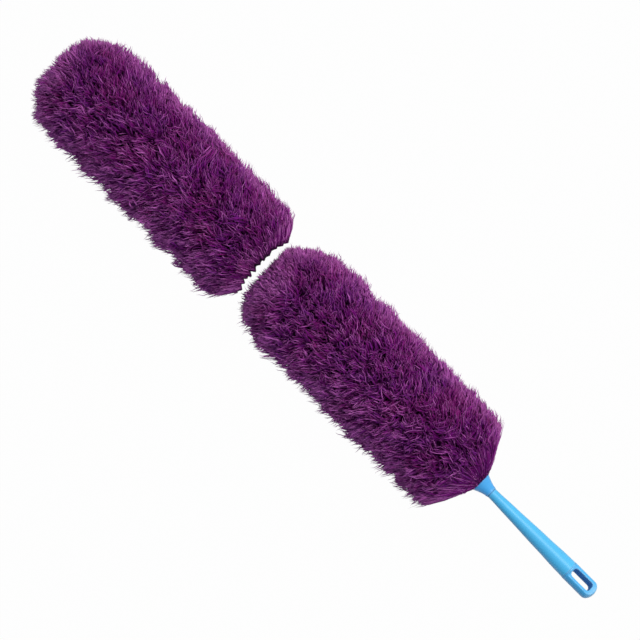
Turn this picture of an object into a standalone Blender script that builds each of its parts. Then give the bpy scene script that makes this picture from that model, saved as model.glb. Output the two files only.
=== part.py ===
"""Microfibre duster with a slip-on pile head, and a spare head lying in line beyond its tip.

Lengths are in metres and +Z is up. The duster lies on its side along X, hanging loop at +X, and
the pile rests on the plane Z = 0. Every piece is turned or placed about one long axis.
"""

import math

import bmesh
import bpy
from mathutils import Matrix, Vector

# Whole set
pile_length = 0.3815
spare_gap = 0.0067
spare_mouth_setback = 0.0205
floor_cut = 0.0005
seat_gap = 0.0003
round_sides = 24
weld_distance = 0.00001
cut_overrun = 0.0050

# Neck collar
flare_length = 0.0186
flare_rim_radius = 0.0135
flare_neck_radius = 0.0080
flare_rim_land = 0.0012
flare_neck_land = 0.0026
flare_bow = 0.0008
spigot_length = 0.0340
spigot_wall = 0.0022
collar_web = 0.0024

# Round thread between the collar and the grip
thread_pitch = 0.0030
thread_depth = 0.0010
thread_root_radius = 0.0047
thread_clearance = 0.0004
thread_length = 0.0120
thread_fade = 0.0015
thread_rings_per_turn = 6
stud_relief = 0.0020

# Rubber washer under the grip's shoulder
washer_thickness = 0.0008
washer_radius = 0.0074

# Grip
grip_length = 0.1355
grip_front_radius = 0.0069
grip_rear_radius = 0.0125
grip_edge = 0.0005
grip_wall = 0.0022
grip_solid_length = 0.0450
grip_taper_shares = (
    (0.00, 0.00),
    (0.08, 0.04),
    (0.20, 0.19),
    (0.33, 0.31),
    (0.46, 0.47),
    (0.59, 0.62),
    (0.72, 0.73),
    (0.86, 0.92),
    (1.00, 1.00),
)

# Hanging loop, pressed into the rear of the grip
loop_length = 0.0440
loop_radius = 0.0128
loop_dome_length = 0.0092
loop_half_thickness = 0.0082
loop_turn = math.radians(24.5)
loop_collar = 0.0026
loop_plug_length = 0.0200
loop_plug_bore = 0.0065
loop_dome_rings = 5
slot_length = 0.0313
slot_width = 0.0125
slot_end_wall = 0.0084
slot_corner_radius = 0.0042
slot_corner_rings = 6

# Core tube that the head slips onto
core_radius = 0.0122
core_wall = 0.0016
core_nose = 0.0100
core_plug_length = 0.0140
rivet_radius = 0.0015
rivet_setback = 0.0180
rivet_sink = 0.0004

# Sleeve of the head: backing tube, hem and elastic
backing_wall = 0.0012
backing_setback = 0.0260
hem_length = 0.0095
hem_height = 0.0040
hem_wall = 0.0008

# Pile of the head
pile_radius = 0.0780
pile_body_radius = 0.0500
pile_mouth_height = 0.0012
base_length = 0.0300
dome_length = 0.0420
dome_edge_setback = 0.0180
patch_radius = 0.0277
patch_front_setback = 0.0170
tier_pitch = 0.0236
pile_lean = 0.0240
gores = 4
columns_per_gore = 3

# Shares that shape the pile: along the base and the dome, then how far each tuft leans and rises
base_shares = ((0.00, 0.00), (0.38, 0.71), (1.00, 1.00))
dome_shares = ((0.00, 1.00), (0.83, 0.36), (1.00, 0.00))
base_lean_shares = (0.50, 0.71)
base_rise_shares = (0.88, 0.94)
dome_lean_shares = (0.71, 0.71)
dome_rise_shares = (0.62, 0.34)
patch_ring_share = 0.43
patch_spread_shares = (0.05, 0.30)
tuft_tip_share = 0.30
tuft_stagger_share = 0.25

# Places worked out from the sizes above, along the axis from the neck plane, towards the loop
washer_front = flare_length + seat_gap
grip_front = washer_front + washer_thickness + seat_gap
grip_end = grip_front + grip_length
loop_front = grip_end + seat_gap
handle_reach = loop_front + loop_length
head_spacing = pile_length + spare_gap - spare_mouth_setback
neck_x = (pile_length + head_spacing - handle_reach) / 2

# Radii worked out from the fits
backing_bore = core_radius + seat_gap
backing_radius = backing_bore + backing_wall
hem_radius = backing_bore + hem_height
column_angle = (2 * math.pi / gores - seat_gap / backing_radius) / columns_per_gore
pile_bore = (backing_radius + seat_gap) / math.cos(column_angle / 2)
hem_room = (hem_radius + seat_gap) / math.cos(column_angle / 2)
body_flat_radius = pile_body_radius * math.cos(column_angle / 2)
pile_rise = pile_radius - body_flat_radius
tuft_stagger = tuft_stagger_share * column_angle
axis_height = pile_radius * math.cos(tuft_stagger) - floor_cut
plug_radius = core_radius - core_wall - seat_gap


def colour(red, green, blue):
    """A colour picked as 0 to 255 screen values, as linear light."""
    linear = []
    for value in (red, green, blue):
        share = value / 255
        linear.append(share / 12.92 if share < 0.04045 else ((share + 0.055) / 1.055) ** 2.4)
    return (*linear, 1.0)


def material(name, base, roughness, metallic=0.0):
    made = bpy.data.materials.new(name)
    made.use_nodes = True
    shader = made.node_tree.nodes["Principled BSDF"]
    shader.inputs["Base Color"].default_value = base
    shader.inputs["Roughness"].default_value = roughness
    shader.inputs["Metallic"].default_value = metallic
    return made


def clear_scene():
    for obj in list(bpy.data.objects):
        bpy.data.objects.remove(obj)


def new_collection(name):
    made = bpy.data.collections.new(name)
    bpy.context.scene.collection.children.link(made)
    return made


def frame(name, distance, parts):
    """An empty on the long axis, this far along it from the neck plane. It carries one body."""
    empty = bpy.data.objects.new(name, None)
    empty.location = (neck_x + distance, 0, axis_height)
    parts.objects.link(empty)
    return empty


def add_part(name, mesh, finish, parent, parts):
    obj = bpy.data.objects.new(name, mesh)
    mesh.materials.append(finish)
    obj.parent = parent
    parts.objects.link(obj)
    return obj


def applied(obj):
    """Replaces the object's mesh by what its modifiers make of it."""
    graph = bpy.context.evaluated_depsgraph_get()
    mesh = bpy.data.meshes.new_from_object(obj.evaluated_get(graph))
    obj.modifiers.clear()
    obj.data = mesh
    return obj


def turned(name, profile, finish, parent, parts, ring=False):
    """Turns a profile of (distance, radius) points about X. A ring's profile closes on itself."""
    mesh = bpy.data.meshes.new(name)
    edges = [(i, i + 1) for i in range(len(profile) - 1)]
    if ring:
        edges.append((len(profile) - 1, 0))
    mesh.from_pydata([(distance, radius, 0) for distance, radius in profile], edges, [])
    obj = add_part(name, mesh, finish, parent, parts)
    screw = obj.modifiers.new("turn", "SCREW")
    screw.axis = "X"
    screw.steps = round_sides
    screw.render_steps = round_sides
    screw.use_merge_vertices = True
    screw.merge_threshold = weld_distance
    screw.use_normal_calculate = True
    applied(obj)
    face_outwards(obj.data)
    obj.data.shade_smooth()
    obj.data.set_sharp_from_angle(angle=math.radians(35))
    return obj


def face_outwards(mesh):
    bm = bmesh.new()
    bm.from_mesh(mesh)
    bmesh.ops.remove_doubles(bm, verts=bm.verts, dist=weld_distance)
    bmesh.ops.recalc_face_normals(bm, faces=bm.faces)
    bm.to_mesh(mesh)
    bm.free()


def cutter(name, mesh, location, cutters):
    obj = bpy.data.objects.new(name, mesh)
    obj.location = location
    obj.hide_render = True
    obj.display_type = "WIRE"
    cutters.objects.link(obj)
    return obj


def cut(obj, tool):
    boolean = obj.modifiers.new("cut " + tool.name, "BOOLEAN")
    boolean.operation = "DIFFERENCE"
    boolean.solver = "EXACT"
    boolean.object = tool


def box_mesh(name, size, centre=(0, 0, 0)):
    mesh = bpy.data.meshes.new(name)
    bm = bmesh.new()
    place = Matrix.Translation(centre) @ Matrix.Diagonal((*size, 1))
    bmesh.ops.create_cube(bm, size=1, matrix=place)
    bm.to_mesh(mesh)
    bm.free()
    return mesh


def rod_mesh(name, radius, length, sides):
    """A round rod along Z about the origin."""
    mesh = bpy.data.meshes.new(name)
    bm = bmesh.new()
    bmesh.ops.create_cone(
        bm, cap_ends=True, segments=sides, radius1=radius, radius2=radius, depth=length
    )
    bm.to_mesh(mesh)
    bm.free()
    return mesh


def thread_stations(start, end):
    """Distances of the rings that a thread between start and end is drawn on."""
    count = round((end - start) / thread_pitch * thread_rings_per_turn)
    return [start + (end - start) * i / count for i in range(count + 1)]


def cut_thread(obj, start, end, plain_radius, depth):
    """Waves the plain wall at plain_radius into a right-hand round thread. Depth is negative in a bore."""
    for vertex in obj.data.vertices:
        distance, y, z = vertex.co
        radius = math.hypot(y, z)
        if abs(radius - plain_radius) > weld_distance or not start < distance < end:
            continue
        angle = math.atan2(z, y)
        wave = math.cos(2 * math.pi * distance / thread_pitch - angle)
        reach = (1 + wave) / 2 if depth > 0 else (1 - wave) / 2
        fade = min(1, (distance - start) / thread_fade, (end - distance) / thread_fade)
        share = (radius + depth * reach * fade) / radius
        vertex.co = (distance, y * share, z * share)


def neck_collar(finish, parent, parts):
    """Flared collar: a spigot for the core tube, a trumpet that the pile ends at, and a threaded socket."""
    bore = thread_root_radius + thread_clearance + thread_depth
    socket_floor = flare_length - thread_length - stud_relief - seat_gap
    trumpet = []
    flare_start = flare_rim_land
    flare_end = flare_length - flare_neck_land
    for i in range(round_sides // 3 + 1):
        share = i * 3 / round_sides
        straight = flare_rim_radius + (flare_neck_radius - flare_rim_radius) * share
        bow = flare_bow * math.sin(math.pi * share)
        trumpet.append((flare_start + (flare_end - flare_start) * share, straight - bow))
    profile = [
        (socket_floor, 0),
        *[(x, bore) for x in thread_stations(socket_floor, flare_length)],
        (flare_length, flare_neck_radius - grip_edge),
        (flare_length - grip_edge, flare_neck_radius),
        *reversed(trumpet),
        (0, flare_rim_radius),
        (0, plug_radius),
        (-spigot_length + grip_edge, plug_radius),
        (-spigot_length, plug_radius - grip_edge),
        (-spigot_length, plug_radius - spigot_wall),
        (socket_floor - collar_web, plug_radius - spigot_wall),
        (socket_floor - collar_web, 0),
    ]
    obj = turned("neck_collar", profile, finish, parent, parts)
    cut_thread(obj, socket_floor, flare_length, bore, -thread_depth)
    return obj


def grip_taper():
    """Points (distance, radius) along the outside of the grip, before its edges are eased."""
    widening = grip_rear_radius - grip_front_radius
    return [
        (grip_front + grip_length * along, grip_front_radius + widening * up)
        for along, up in grip_taper_shares
    ]


def socket_radius():
    """Radius of the straight socket in the grip's rear: what the wall leaves where the plug ends."""
    plug_front = loop_front - loop_plug_length
    for (start, low), (end, high) in zip(grip_taper(), grip_taper()[1:]):
        if start <= plug_front <= end:
            return low + (high - low) * (plug_front - start) / (end - start) - grip_wall
    raise ValueError("the loop's plug is longer than the grip")


def grip_outline():
    """Outer points of the grip from its front to its rear."""
    points = grip_taper()
    (front, front_radius), (rear, rear_radius) = points[0], points[-1]
    points[0] = (front + grip_edge, front_radius)
    points[-1] = (rear - grip_edge, rear_radius)
    return [(front, front_radius - grip_edge), *points, (rear, rear_radius - grip_edge)]


def handle_grip(finish, parent, parts):
    """Tapered hollow grip, with a round-threaded stud at its front and a socket at its rear."""
    stud_end = flare_length - thread_length - stud_relief
    plain_from = grip_front - stud_relief
    bore = [
        (distance, radius - grip_wall)
        for distance, radius in grip_taper()
        if grip_front + grip_solid_length < distance < loop_front - loop_plug_length
    ]
    bore += [(loop_front - loop_plug_length, socket_radius()), (grip_end, socket_radius())]
    profile = [
        (stud_end - seat_gap + stud_relief, 0),
        *[(x, thread_root_radius) for x in thread_stations(stud_end + stud_relief, plain_from)],
        (grip_front, thread_root_radius),
        *grip_outline(),
        *reversed(bore),
        (bore[0][0], 0),
    ]
    obj = turned("handle_grip", profile, finish, parent, parts)
    cut_thread(obj, stud_end + stud_relief, plain_from, thread_root_radius, thread_depth)
    return obj


def sealing_washer(finish, parent, parts):
    inner = thread_root_radius + seat_gap
    front, rear = washer_front, washer_front + washer_thickness
    profile = [(front, inner), (front, washer_radius), (rear, washer_radius), (rear, inner)]
    return turned("sealing_washer", profile, finish, parent, parts, ring=True)


def slot_mesh():
    """Straight-sided slot with rounded corners, long along X and open along Z."""
    bm = bmesh.new()
    depth = 2 * (loop_radius + cut_overrun)
    bmesh.ops.create_cube(bm, size=1, matrix=Matrix.Diagonal((slot_length, slot_width, depth, 1)))
    corners = [e for e in bm.edges if e.verts[0].co.xy == e.verts[1].co.xy]
    bmesh.ops.bevel(
        bm,
        geom=corners,
        offset=slot_corner_radius,
        segments=slot_corner_rings,
        profile=0.5,
        affect="EDGES",
    )
    mesh = bpy.data.meshes.new("slot_cutter")
    bm.to_mesh(mesh)
    bm.free()
    return mesh


def hang_loop(finish, parent, parts, cutters):
    """End cap of the grip with a domed end, two flats and a slot to hang it by."""
    plug = socket_radius() - seat_gap
    dome_start = handle_reach - loop_dome_length
    dome = []
    for i in range(loop_dome_rings):
        angle = math.pi / 2 * i / loop_dome_rings
        along = dome_start + loop_dome_length * math.sin(angle)
        dome.append((along, loop_radius * math.cos(angle)))
    plug_front = loop_front - loop_plug_length
    profile = [
        (loop_front - grip_edge, 0),
        (loop_front - grip_edge, loop_plug_bore),
        (plug_front, loop_plug_bore),
        (plug_front, plug - grip_edge),
        (plug_front + grip_edge, plug),
        (loop_front, plug),
        (loop_front, loop_radius - grip_edge),
        (loop_front + grip_edge, loop_radius),
        *dome,
        (handle_reach, 0),
    ]
    obj = turned("hang_loop", profile, finish, parent, parts)
    turn = Matrix.Rotation(-loop_turn, 4, "X")
    slot_centre = handle_reach - slot_end_wall - slot_length / 2
    slot = cutter("slot_cutter", slot_mesh(), (neck_x + slot_centre, 0, axis_height), cutters)
    slot.rotation_euler = turn.to_euler()
    cut(obj, slot)
    flat_start = loop_front + loop_collar
    flat_length = handle_reach - flat_start + cut_overrun
    depth = loop_radius + cut_overrun - loop_half_thickness
    for name, side in (("upper_flat_cutter", 1), ("lower_flat_cutter", -1)):
        size = (flat_length, 2 * (loop_radius + cut_overrun), depth)
        centre = (flat_start + flat_length / 2, 0, side * (loop_half_thickness + depth / 2))
        flat = cutter(name, box_mesh(name, size, centre), (neck_x, 0, axis_height), cutters)
        flat.rotation_euler = turn.to_euler()
        cut(obj, flat)
    return obj


def core_tube(finish, parent, parts, rivet_hole):
    front = -seat_gap
    end = -(pile_length - backing_setback - backing_wall - seat_gap - core_nose)
    inner = core_radius - core_wall
    profile = [(front, inner), (front, core_radius), (end, core_radius), (end, inner)]
    obj = turned("core_tube", profile, finish, parent, parts, ring=True)
    cut(obj, rivet_hole)
    return obj


def core_tip_cap(finish, parent, parts):
    """Domed plug in the far end of the core tube."""
    tube_end = -(pile_length - backing_setback - backing_wall - seat_gap - core_nose)
    shoulder = tube_end - seat_gap
    nose_end = tube_end - core_nose
    nose = []
    for i in range(loop_dome_rings):
        angle = math.pi / 2 * i / loop_dome_rings
        along = shoulder + (nose_end - shoulder) * math.sin(angle)
        nose.append((along, core_radius * math.cos(angle)))
    profile = [
        (tube_end + core_plug_length, 0),
        (tube_end + core_plug_length, plug_radius - grip_edge),
        (tube_end + core_plug_length - grip_edge, plug_radius),
        (shoulder, plug_radius),
        *nose,
        (nose_end, 0),
    ]
    return turned("core_tip_cap", profile, finish, parent, parts)


def collar_rivet(finish, parent, parts):
    """Rivet that runs across the core tube and the collar's spigot."""
    length = 2 * (core_radius - rivet_sink)
    mesh = rod_mesh("collar_rivet", rivet_radius, length, round_sides // 2)
    obj = add_part("collar_rivet", mesh, finish, parent, parts)
    obj.location = (-rivet_setback, 0, 0)
    return obj


def backing(name, mouth, finish, parent, parts):
    """Fabric tube that carries the pile, closed at the tip."""
    start = -(mouth + seat_gap + hem_length + seat_gap)
    end = -(pile_length - backing_setback)
    profile = [
        (end + backing_wall, 0),
        (end + backing_wall, backing_bore),
        (start, backing_bore),
        (start, backing_radius),
        (end, backing_radius),
        (end, 0),
    ]
    return turned(name, profile, finish, parent, parts)


def hem(name, mouth, finish, parent, parts):
    """Folded hem round the mouth, a channel that is open towards the tip."""
    front = -(mouth + seat_gap)
    end = front - hem_length
    floor = front - hem_wall
    profile = [
        (front, backing_bore),
        (front, hem_radius),
        (end, hem_radius),
        (end, hem_radius - hem_wall),
        (floor, hem_radius - hem_wall),
        (floor, backing_bore + hem_wall),
        (end, backing_bore + hem_wall),
        (end, backing_bore),
    ]
    return turned(name, profile, finish, parent, parts, ring=True)


def elastic(name, mouth, finish, parent, parts):
    """Elastic cord in the hem's channel."""
    cord_radius = (hem_height - 2 * hem_wall) / 2 - seat_gap
    centre = -(mouth + seat_gap + hem_wall + seat_gap + cord_radius)
    middle = backing_bore + hem_height / 2
    sides = round_sides // 3
    profile = []
    for i in range(sides):
        angle = 2 * math.pi * i / sides
        profile.append(
            (centre + cord_radius * math.cos(angle), middle + cord_radius * math.sin(angle))
        )
    return turned(name, profile, finish, parent, parts, ring=True)


def body_outline(mouth):
    """Points (distance from the neck plane, radius) where the tufts root, from mouth to tip patch.

    Each point but the last also has the lean and rise shares of the tufts between it and the next.
    """
    low = hem_room + pile_mouth_height
    base = [
        (base_length * along, low + (pile_body_radius - low) * up) for along, up in base_shares
    ]
    dome_start = pile_length - dome_length
    dome_run = dome_length - dome_edge_setback
    dome_low = patch_radius + seat_gap
    dome = [
        (dome_start + dome_run * along, dome_low + (pile_body_radius - dome_low) * up)
        for along, up in dome_shares
    ]
    tiers = max(1, round((dome_start - base_length) / tier_pitch))
    pitch = (dome_start - base_length) / tiers
    middle = [(base_length + pitch * i, pile_body_radius) for i in range(1, tiers)]
    shares = list(zip(base_lean_shares, base_rise_shares))
    shares += [(1, 1)] * tiers
    shares += list(zip(dome_lean_shares, dome_rise_shares))
    points = base + middle + dome
    while points[1][0] <= mouth:
        del points[0], shares[0]
    share = (mouth - points[0][0]) / (points[1][0] - points[0][0])
    if share > 0:
        radius = points[0][1] + (points[1][1] - points[0][1]) * share
        points[0] = (mouth, radius)
    return points, shares


def grow_tufts(bm, faces, place_of):
    """Draws each face out into one tapering tuft. place_of gives the tuft's end from the face's centre."""
    made = bmesh.ops.extrude_discrete_faces(bm, faces=faces)
    for face in made["faces"]:
        centre = face.calc_center_median()
        end = place_of(face, centre)
        for vertex in face.verts:
            vertex.co = end + (vertex.co - centre) * tuft_tip_share


def about_axis(distance, radius, angle):
    return Vector((distance, radius * math.cos(angle), radius * math.sin(angle)))


def pile_gore(name, middle_angle, mouth, finish, parent, parts):
    """One long panel of pile, a quarter of the way round, with its tufts leaning to the tip."""
    outline, shares = body_outline(mouth)
    seat = pile_length - backing_setback
    hem_end = mouth + seat_gap + hem_length + seat_gap
    inner = [
        (seat, patch_radius + seat_gap),
        (seat, pile_bore),
        (hem_end, pile_bore),
        (hem_end, hem_room),
        (mouth, hem_room),
    ]
    bm = bmesh.new()
    tier = bm.verts.layers.int.new("tier")
    span = column_angle * columns_per_gore
    start_angle = middle_angle - span / 2
    verts = []
    for index, (along, radius) in enumerate(outline + inner):
        vertex = bm.verts.new(about_axis(-along, radius, start_angle))
        vertex[tier] = index + 1 if index < len(outline) else 0
        verts.append(vertex)
    section = bm.faces.new(verts)
    bmesh.ops.spin(
        bm,
        geom=[section, *section.edges, *verts],
        cent=(0, 0, 0),
        axis=(1, 0, 0),
        angle=span,
        steps=columns_per_gore,
    )
    bmesh.ops.recalc_face_normals(bm, faces=bm.faces)
    outer = [f for f in bm.faces if len(f.verts) == 4 and all(v[tier] for v in f.verts)]

    def place_of(face, centre):
        index = min(v[tier] for v in face.verts) - 1
        lean, rise = shares[index]
        radius = math.hypot(centre.y, centre.z) + pile_rise * rise
        stagger = tuft_stagger if index % 2 else -tuft_stagger
        angle = math.atan2(centre.z, centre.y) + stagger
        return about_axis(centre.x - pile_lean * lean, radius, angle)

    grow_tufts(bm, outer, place_of)
    mesh = bpy.data.meshes.new(name)
    bm.to_mesh(mesh)
    bm.free()
    return add_part(name, mesh, finish, parent, parts)


def pile_tip(name, finish, parent, parts):
    """Round patch of pile that closes the tip, with its tufts fanning forward."""
    back = -(pile_length - backing_setback + seat_gap)
    front = -(pile_length - patch_front_setback)
    ring = patch_radius * patch_ring_share
    bm = bmesh.new()
    sides = gores * columns_per_gore
    lying = Matrix.Rotation(-math.pi / 2, 4, "Y") @ Matrix.Rotation(math.pi / sides, 4, "Z")
    place = Matrix.Translation((front, 0, 0)) @ lying
    bmesh.ops.create_circle(bm, cap_ends=True, cap_tris=True, segments=sides, radius=ring, matrix=place)
    rim = [e for e in bm.edges if e.is_boundary]
    for radius, distance in ((patch_radius, front), (patch_radius, back)):
        made = bmesh.ops.extrude_edge_only(bm, edges=rim)["geom"]
        rim = [e for e in made if isinstance(e, bmesh.types.BMEdge)]
        for vertex in {v for e in rim for v in e.verts}:
            vertex.co = about_axis(distance, radius, math.atan2(vertex.co.z, vertex.co.y))
    bmesh.ops.contextual_create(bm, geom=rim)
    bmesh.ops.recalc_face_normals(bm, faces=bm.faces)
    forward = [
        f for f in bm.faces if len(f.verts) < sides and all(abs(v.co.x - front) < seat_gap for v in f.verts)
    ]

    def place_of(face, centre):
        radius = math.hypot(centre.y, centre.z)
        spread = patch_spread_shares[0] if radius < ring else patch_spread_shares[1]
        radius += patch_radius * spread
        return about_axis(-pile_length, radius, math.atan2(centre.z, centre.y))

    grow_tufts(bm, forward, place_of)
    mesh = bpy.data.meshes.new(name)
    bm.to_mesh(mesh)
    bm.free()
    return add_part(name, mesh, finish, parent, parts)


def head(prefix, mouth, finishes, parent, parts, floor):
    """A whole slip-on head: elastic, hem, backing, four panels of pile and the tip patch."""
    elastic(prefix + "_elastic", mouth, finishes["elastic"], parent, parts)
    hem(prefix + "_hem", mouth, finishes["hem"], parent, parts)
    backing(prefix + "_backing", mouth, finishes["backing"], parent, parts)
    for index, side in enumerate(("left", "top", "right", "bottom")):
        angle = 2 * math.pi * index / gores
        panel = pile_gore(f"{prefix}_pile_{side}", angle, mouth, finishes["pile"], parent, parts)
        if side == "bottom":
            cut(panel, floor)
    pile_tip(prefix + "_pile_tip", finishes["pile"], parent, parts)


def main():
    clear_scene()
    parts = new_collection("microfibre_duster")
    cutters = new_collection("cutters")
    plastic = material("blue_plastic", colour(84, 198, 248), 0.38)
    loop_plastic = material("blue_loop_plastic", colour(80, 188, 244), 0.38)
    core_plastic = material("grey_core_plastic", colour(196, 198, 200), 0.5)
    rubber = material("blue_rubber", colour(78, 168, 222), 0.6)
    steel = material("rivet_steel", colour(190, 192, 195), 0.3, 1.0)
    finishes = {
        "pile": material("purple_pile", colour(104, 40, 104), 0.85),
        "backing": material("purple_backing", colour(66, 28, 70), 0.9),
        "hem": material("purple_hem", colour(58, 24, 62), 0.9),
        "elastic": material("white_elastic", colour(225, 225, 222), 0.7),
    }

    head_frame = frame("fitted_head_frame", 0, parts)
    core_frame = frame("core_frame", 0, parts)
    washer_frame = frame("washer_frame", 0, parts)
    grip_frame = frame("grip_frame", 0, parts)
    spare_frame = frame("spare_head_frame", -head_spacing, parts)

    reach = pile_length + head_spacing + cut_overrun
    floor_size = (2 * reach, 2 * pile_radius, pile_radius)
    floor_mesh = box_mesh("floor_cutter", floor_size, (0, 0, -pile_radius / 2))
    floor = cutter("floor_cutter", floor_mesh, (0, 0, 0), cutters)
    hole_mesh = rod_mesh(
        "rivet_hole_cutter", rivet_radius + seat_gap, 2 * (core_radius + cut_overrun), round_sides // 2
    )
    hole = cutter(
        "rivet_hole_cutter", hole_mesh, (neck_x - rivet_setback, 0, axis_height), cutters
    )

    collar = neck_collar(plastic, core_frame, parts)
    cut(collar, hole)
    core_tube(core_plastic, core_frame, parts, hole)
    core_tip_cap(core_plastic, core_frame, parts)
    collar_rivet(steel, core_frame, parts)
    sealing_washer(rubber, washer_frame, parts)
    handle_grip(plastic, grip_frame, parts)
    hang_loop(loop_plastic, grip_frame, parts, cutters)
    head("head", 0, finishes, head_frame, parts, floor)
    head("spare", spare_mouth_setback, finishes, spare_frame, parts, floor)


main()
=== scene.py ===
"""Dresses the microfibre duster: a fluffy slip-on head on its core tube, a flared collar, a grip
with a hanging loop, and a spare head lying in line beyond the tip.

Lengths are in metres, in the frame of the solids. Along means the distance from the neck plane,
where the fitted head's pile meets the collar, and it grows towards the hanging loop.
"""

import math

import bpy
import numpy as np
from bpy.props import FloatProperty, FloatVectorProperty, IntProperty, PointerProperty
from mathutils import Matrix, Vector


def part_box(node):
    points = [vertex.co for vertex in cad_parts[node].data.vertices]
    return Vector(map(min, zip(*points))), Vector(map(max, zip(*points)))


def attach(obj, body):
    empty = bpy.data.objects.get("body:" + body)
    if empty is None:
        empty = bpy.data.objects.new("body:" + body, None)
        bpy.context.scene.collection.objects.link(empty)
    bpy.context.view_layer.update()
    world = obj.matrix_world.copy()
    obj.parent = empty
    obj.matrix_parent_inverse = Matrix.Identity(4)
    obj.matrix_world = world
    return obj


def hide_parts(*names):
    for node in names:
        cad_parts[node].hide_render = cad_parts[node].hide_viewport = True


bl_info = {
    "name": "Microfibre duster",
    "version": (1, 0, 0),
    "blender": (4, 5, 0),
    "location": "View3D > Sidebar > Duster",
    "description": "Models and finishes a microfibre duster with a spare head",
    "category": "Object",
}

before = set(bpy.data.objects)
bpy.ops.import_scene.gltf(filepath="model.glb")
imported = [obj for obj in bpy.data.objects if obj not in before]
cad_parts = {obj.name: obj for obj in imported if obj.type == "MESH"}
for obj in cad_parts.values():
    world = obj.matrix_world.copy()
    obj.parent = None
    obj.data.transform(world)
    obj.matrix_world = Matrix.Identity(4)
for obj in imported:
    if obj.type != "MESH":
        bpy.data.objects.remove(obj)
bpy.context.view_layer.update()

# Places read from the solids
grip_low, grip_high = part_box("handle_grip")
neck = Vector((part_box("head_pile_top")[1].x, 0, (grip_low.z + grip_high.z) / 2))
pile_length = neck.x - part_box("head_pile_tip")[0].x
pile_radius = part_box("head_pile_left")[1].y
grip_end = grip_high.x - neck.x
grip_rear_radius = (grip_high.z - grip_low.z) / 2
handle_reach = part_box("hang_loop")[1].x - neck.x
loop_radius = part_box("hang_loop")[1].y
core_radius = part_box("core_tube")[1].y
core_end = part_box("core_tube")[0].x - neck.x
core_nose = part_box("core_tip_cap")[0].x - neck.x
collar_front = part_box("neck_collar")[0].x - neck.x
collar_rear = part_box("neck_collar")[1].x - neck.x
collar_rim_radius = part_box("neck_collar")[1].y
washer_low, washer_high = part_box("sealing_washer")

# Fits and edges that the solids share
seat_gap = 0.0003
edge_round = 0.0005
weld_distance = 0.00001
grip_front = washer_high.x - neck.x + seat_gap
turned_sides = 72

# A profile's corners are rounded where there is room and they bend enough
corner_steps = 3
corner_room_share = 1 / 2.01
plain_bend = math.radians(150)

# Up to how many degrees between faces an edge is shaded smooth
crisp_angle = 35
soft_angle = 60

# Collar and round thread
collar_neck_radius = 0.0080
collar_rim_land = 0.0012
collar_neck_land = 0.0026
collar_bow = 0.0004
collar_web = 0.0024
collar_round = 0.0004
flare_points = 15
spigot_wall = 0.0022
thread_pitch = 0.0030
thread_depth = 0.0010
thread_root_radius = 0.0047
thread_clearance = 0.0004
thread_length = 0.0120
thread_fade = 0.0015
thread_rings_per_turn = 14
thread_step = thread_pitch / thread_rings_per_turn
stud_relief = 0.0020
stud_tip_share = 0.86

# Grip and hanging loop
grip_front_radius = 0.0069
grip_wall = 0.0022
grip_solid_length = 0.0450
grip_steps = 8
grip_taper_shares = (
    (0.00, 0.00), (0.08, 0.04), (0.20, 0.19), (0.33, 0.31), (0.46, 0.47),
    (0.59, 0.62), (0.72, 0.73), (0.86, 0.92), (1.00, 1.00),
)
loop_dome_length = 0.0092
loop_dome_steps = 16
loop_half_thickness = 0.0082
loop_turn = math.radians(24.5)
loop_collar = 0.0026
loop_plug_length = 0.0200
loop_plug_bore = 0.0065
plug_front = grip_end + seat_gap - loop_plug_length
slot_length = 0.0313
slot_width = 0.0125
slot_end_wall = 0.0084
slot_middle = handle_reach - slot_end_wall - slot_length / 2
slot_corner_radius = 0.0042
slot_corner_steps = 12
loop_voxel = 0.00038
loop_soften_share = 0.5
loop_soften_times = 20
loop_seam = 0.0001
seam_round = 0.0002

# How sharply an edge bends where its painted highlight begins and is full, and where the loop's
# end is painted paler as a highlight
highlight_bend = (90.0, 400.0)
highlight_end = (0.0100, 0.0040)
end_highlight_share = 0.60

# The shade in the slot and behind the collar's rim
slot_shade_depth = 0.0025
rim_shadow_width = 0.0008
rim_shadow_shares = (1.6, 0.6)

# Core tube, rivet and washer, with the insets and dishes of the rivet's ends
core_wall = 0.0016
core_round = 0.0003
core_roughness = 0.45
core_plug_length = 0.0140
cap_round = 0.0004
cap_dome_steps = 14
rivet_radius = 0.0015
rivet_setback = 0.0180
rivet_sides = 32
rivet_dish_shares = ((0.30, 0.0), (0.15, 0.25), (0.20, 0.15))
rivet_round_share = 0.12
rivet_round_steps = 2
washer_bore = 0.0050
washer_round_share = 0.35
washer_roughness = 0.75

# Sleeve
backing_wall = 0.0012
backing_round = backing_wall / 3
backing_setback = 0.0260
backing_end = pile_length - backing_setback
backing_sides = 48
hem_length = 0.0095
hem_height = 0.0040
hem_wall = 0.0008
hem_round = 0.00036
hem_sides = 156
sleeve_bore = core_radius + seat_gap
hem_middle = sleeve_bore + hem_height / 2
sleeve_radius = sleeve_bore + hem_height + seat_gap
hem_radius = sleeve_radius - edge_round
pucker_step = 0.0040
pucker_steps = 4
pucker_depth = 0.00012
pucker_sway = (3, 4)
gathers = 26
gather_depth = 0.00018
gather_sway = (2, 5)
stitch_length = 0.0030
stitch_pitch = 0.00435
stitch_radius = 0.00030
stitch_flat_share = 0.8
stitch_segments = (8, 6)
elastic_ribs = 3
elastic_twists = 60
elastic_ridge = 0.00012
elastic_segments = (180, 12)
cloth_map = "cloth"
cloths = {
    "backing": ("backing_cloth", 0.0010),
    "hem": ("hem_cloth", 0.0007),
    "elastic": ("elastic_cloth", 0.0005),
    "thread": ("sewing_thread", 0.0004),
}

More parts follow.
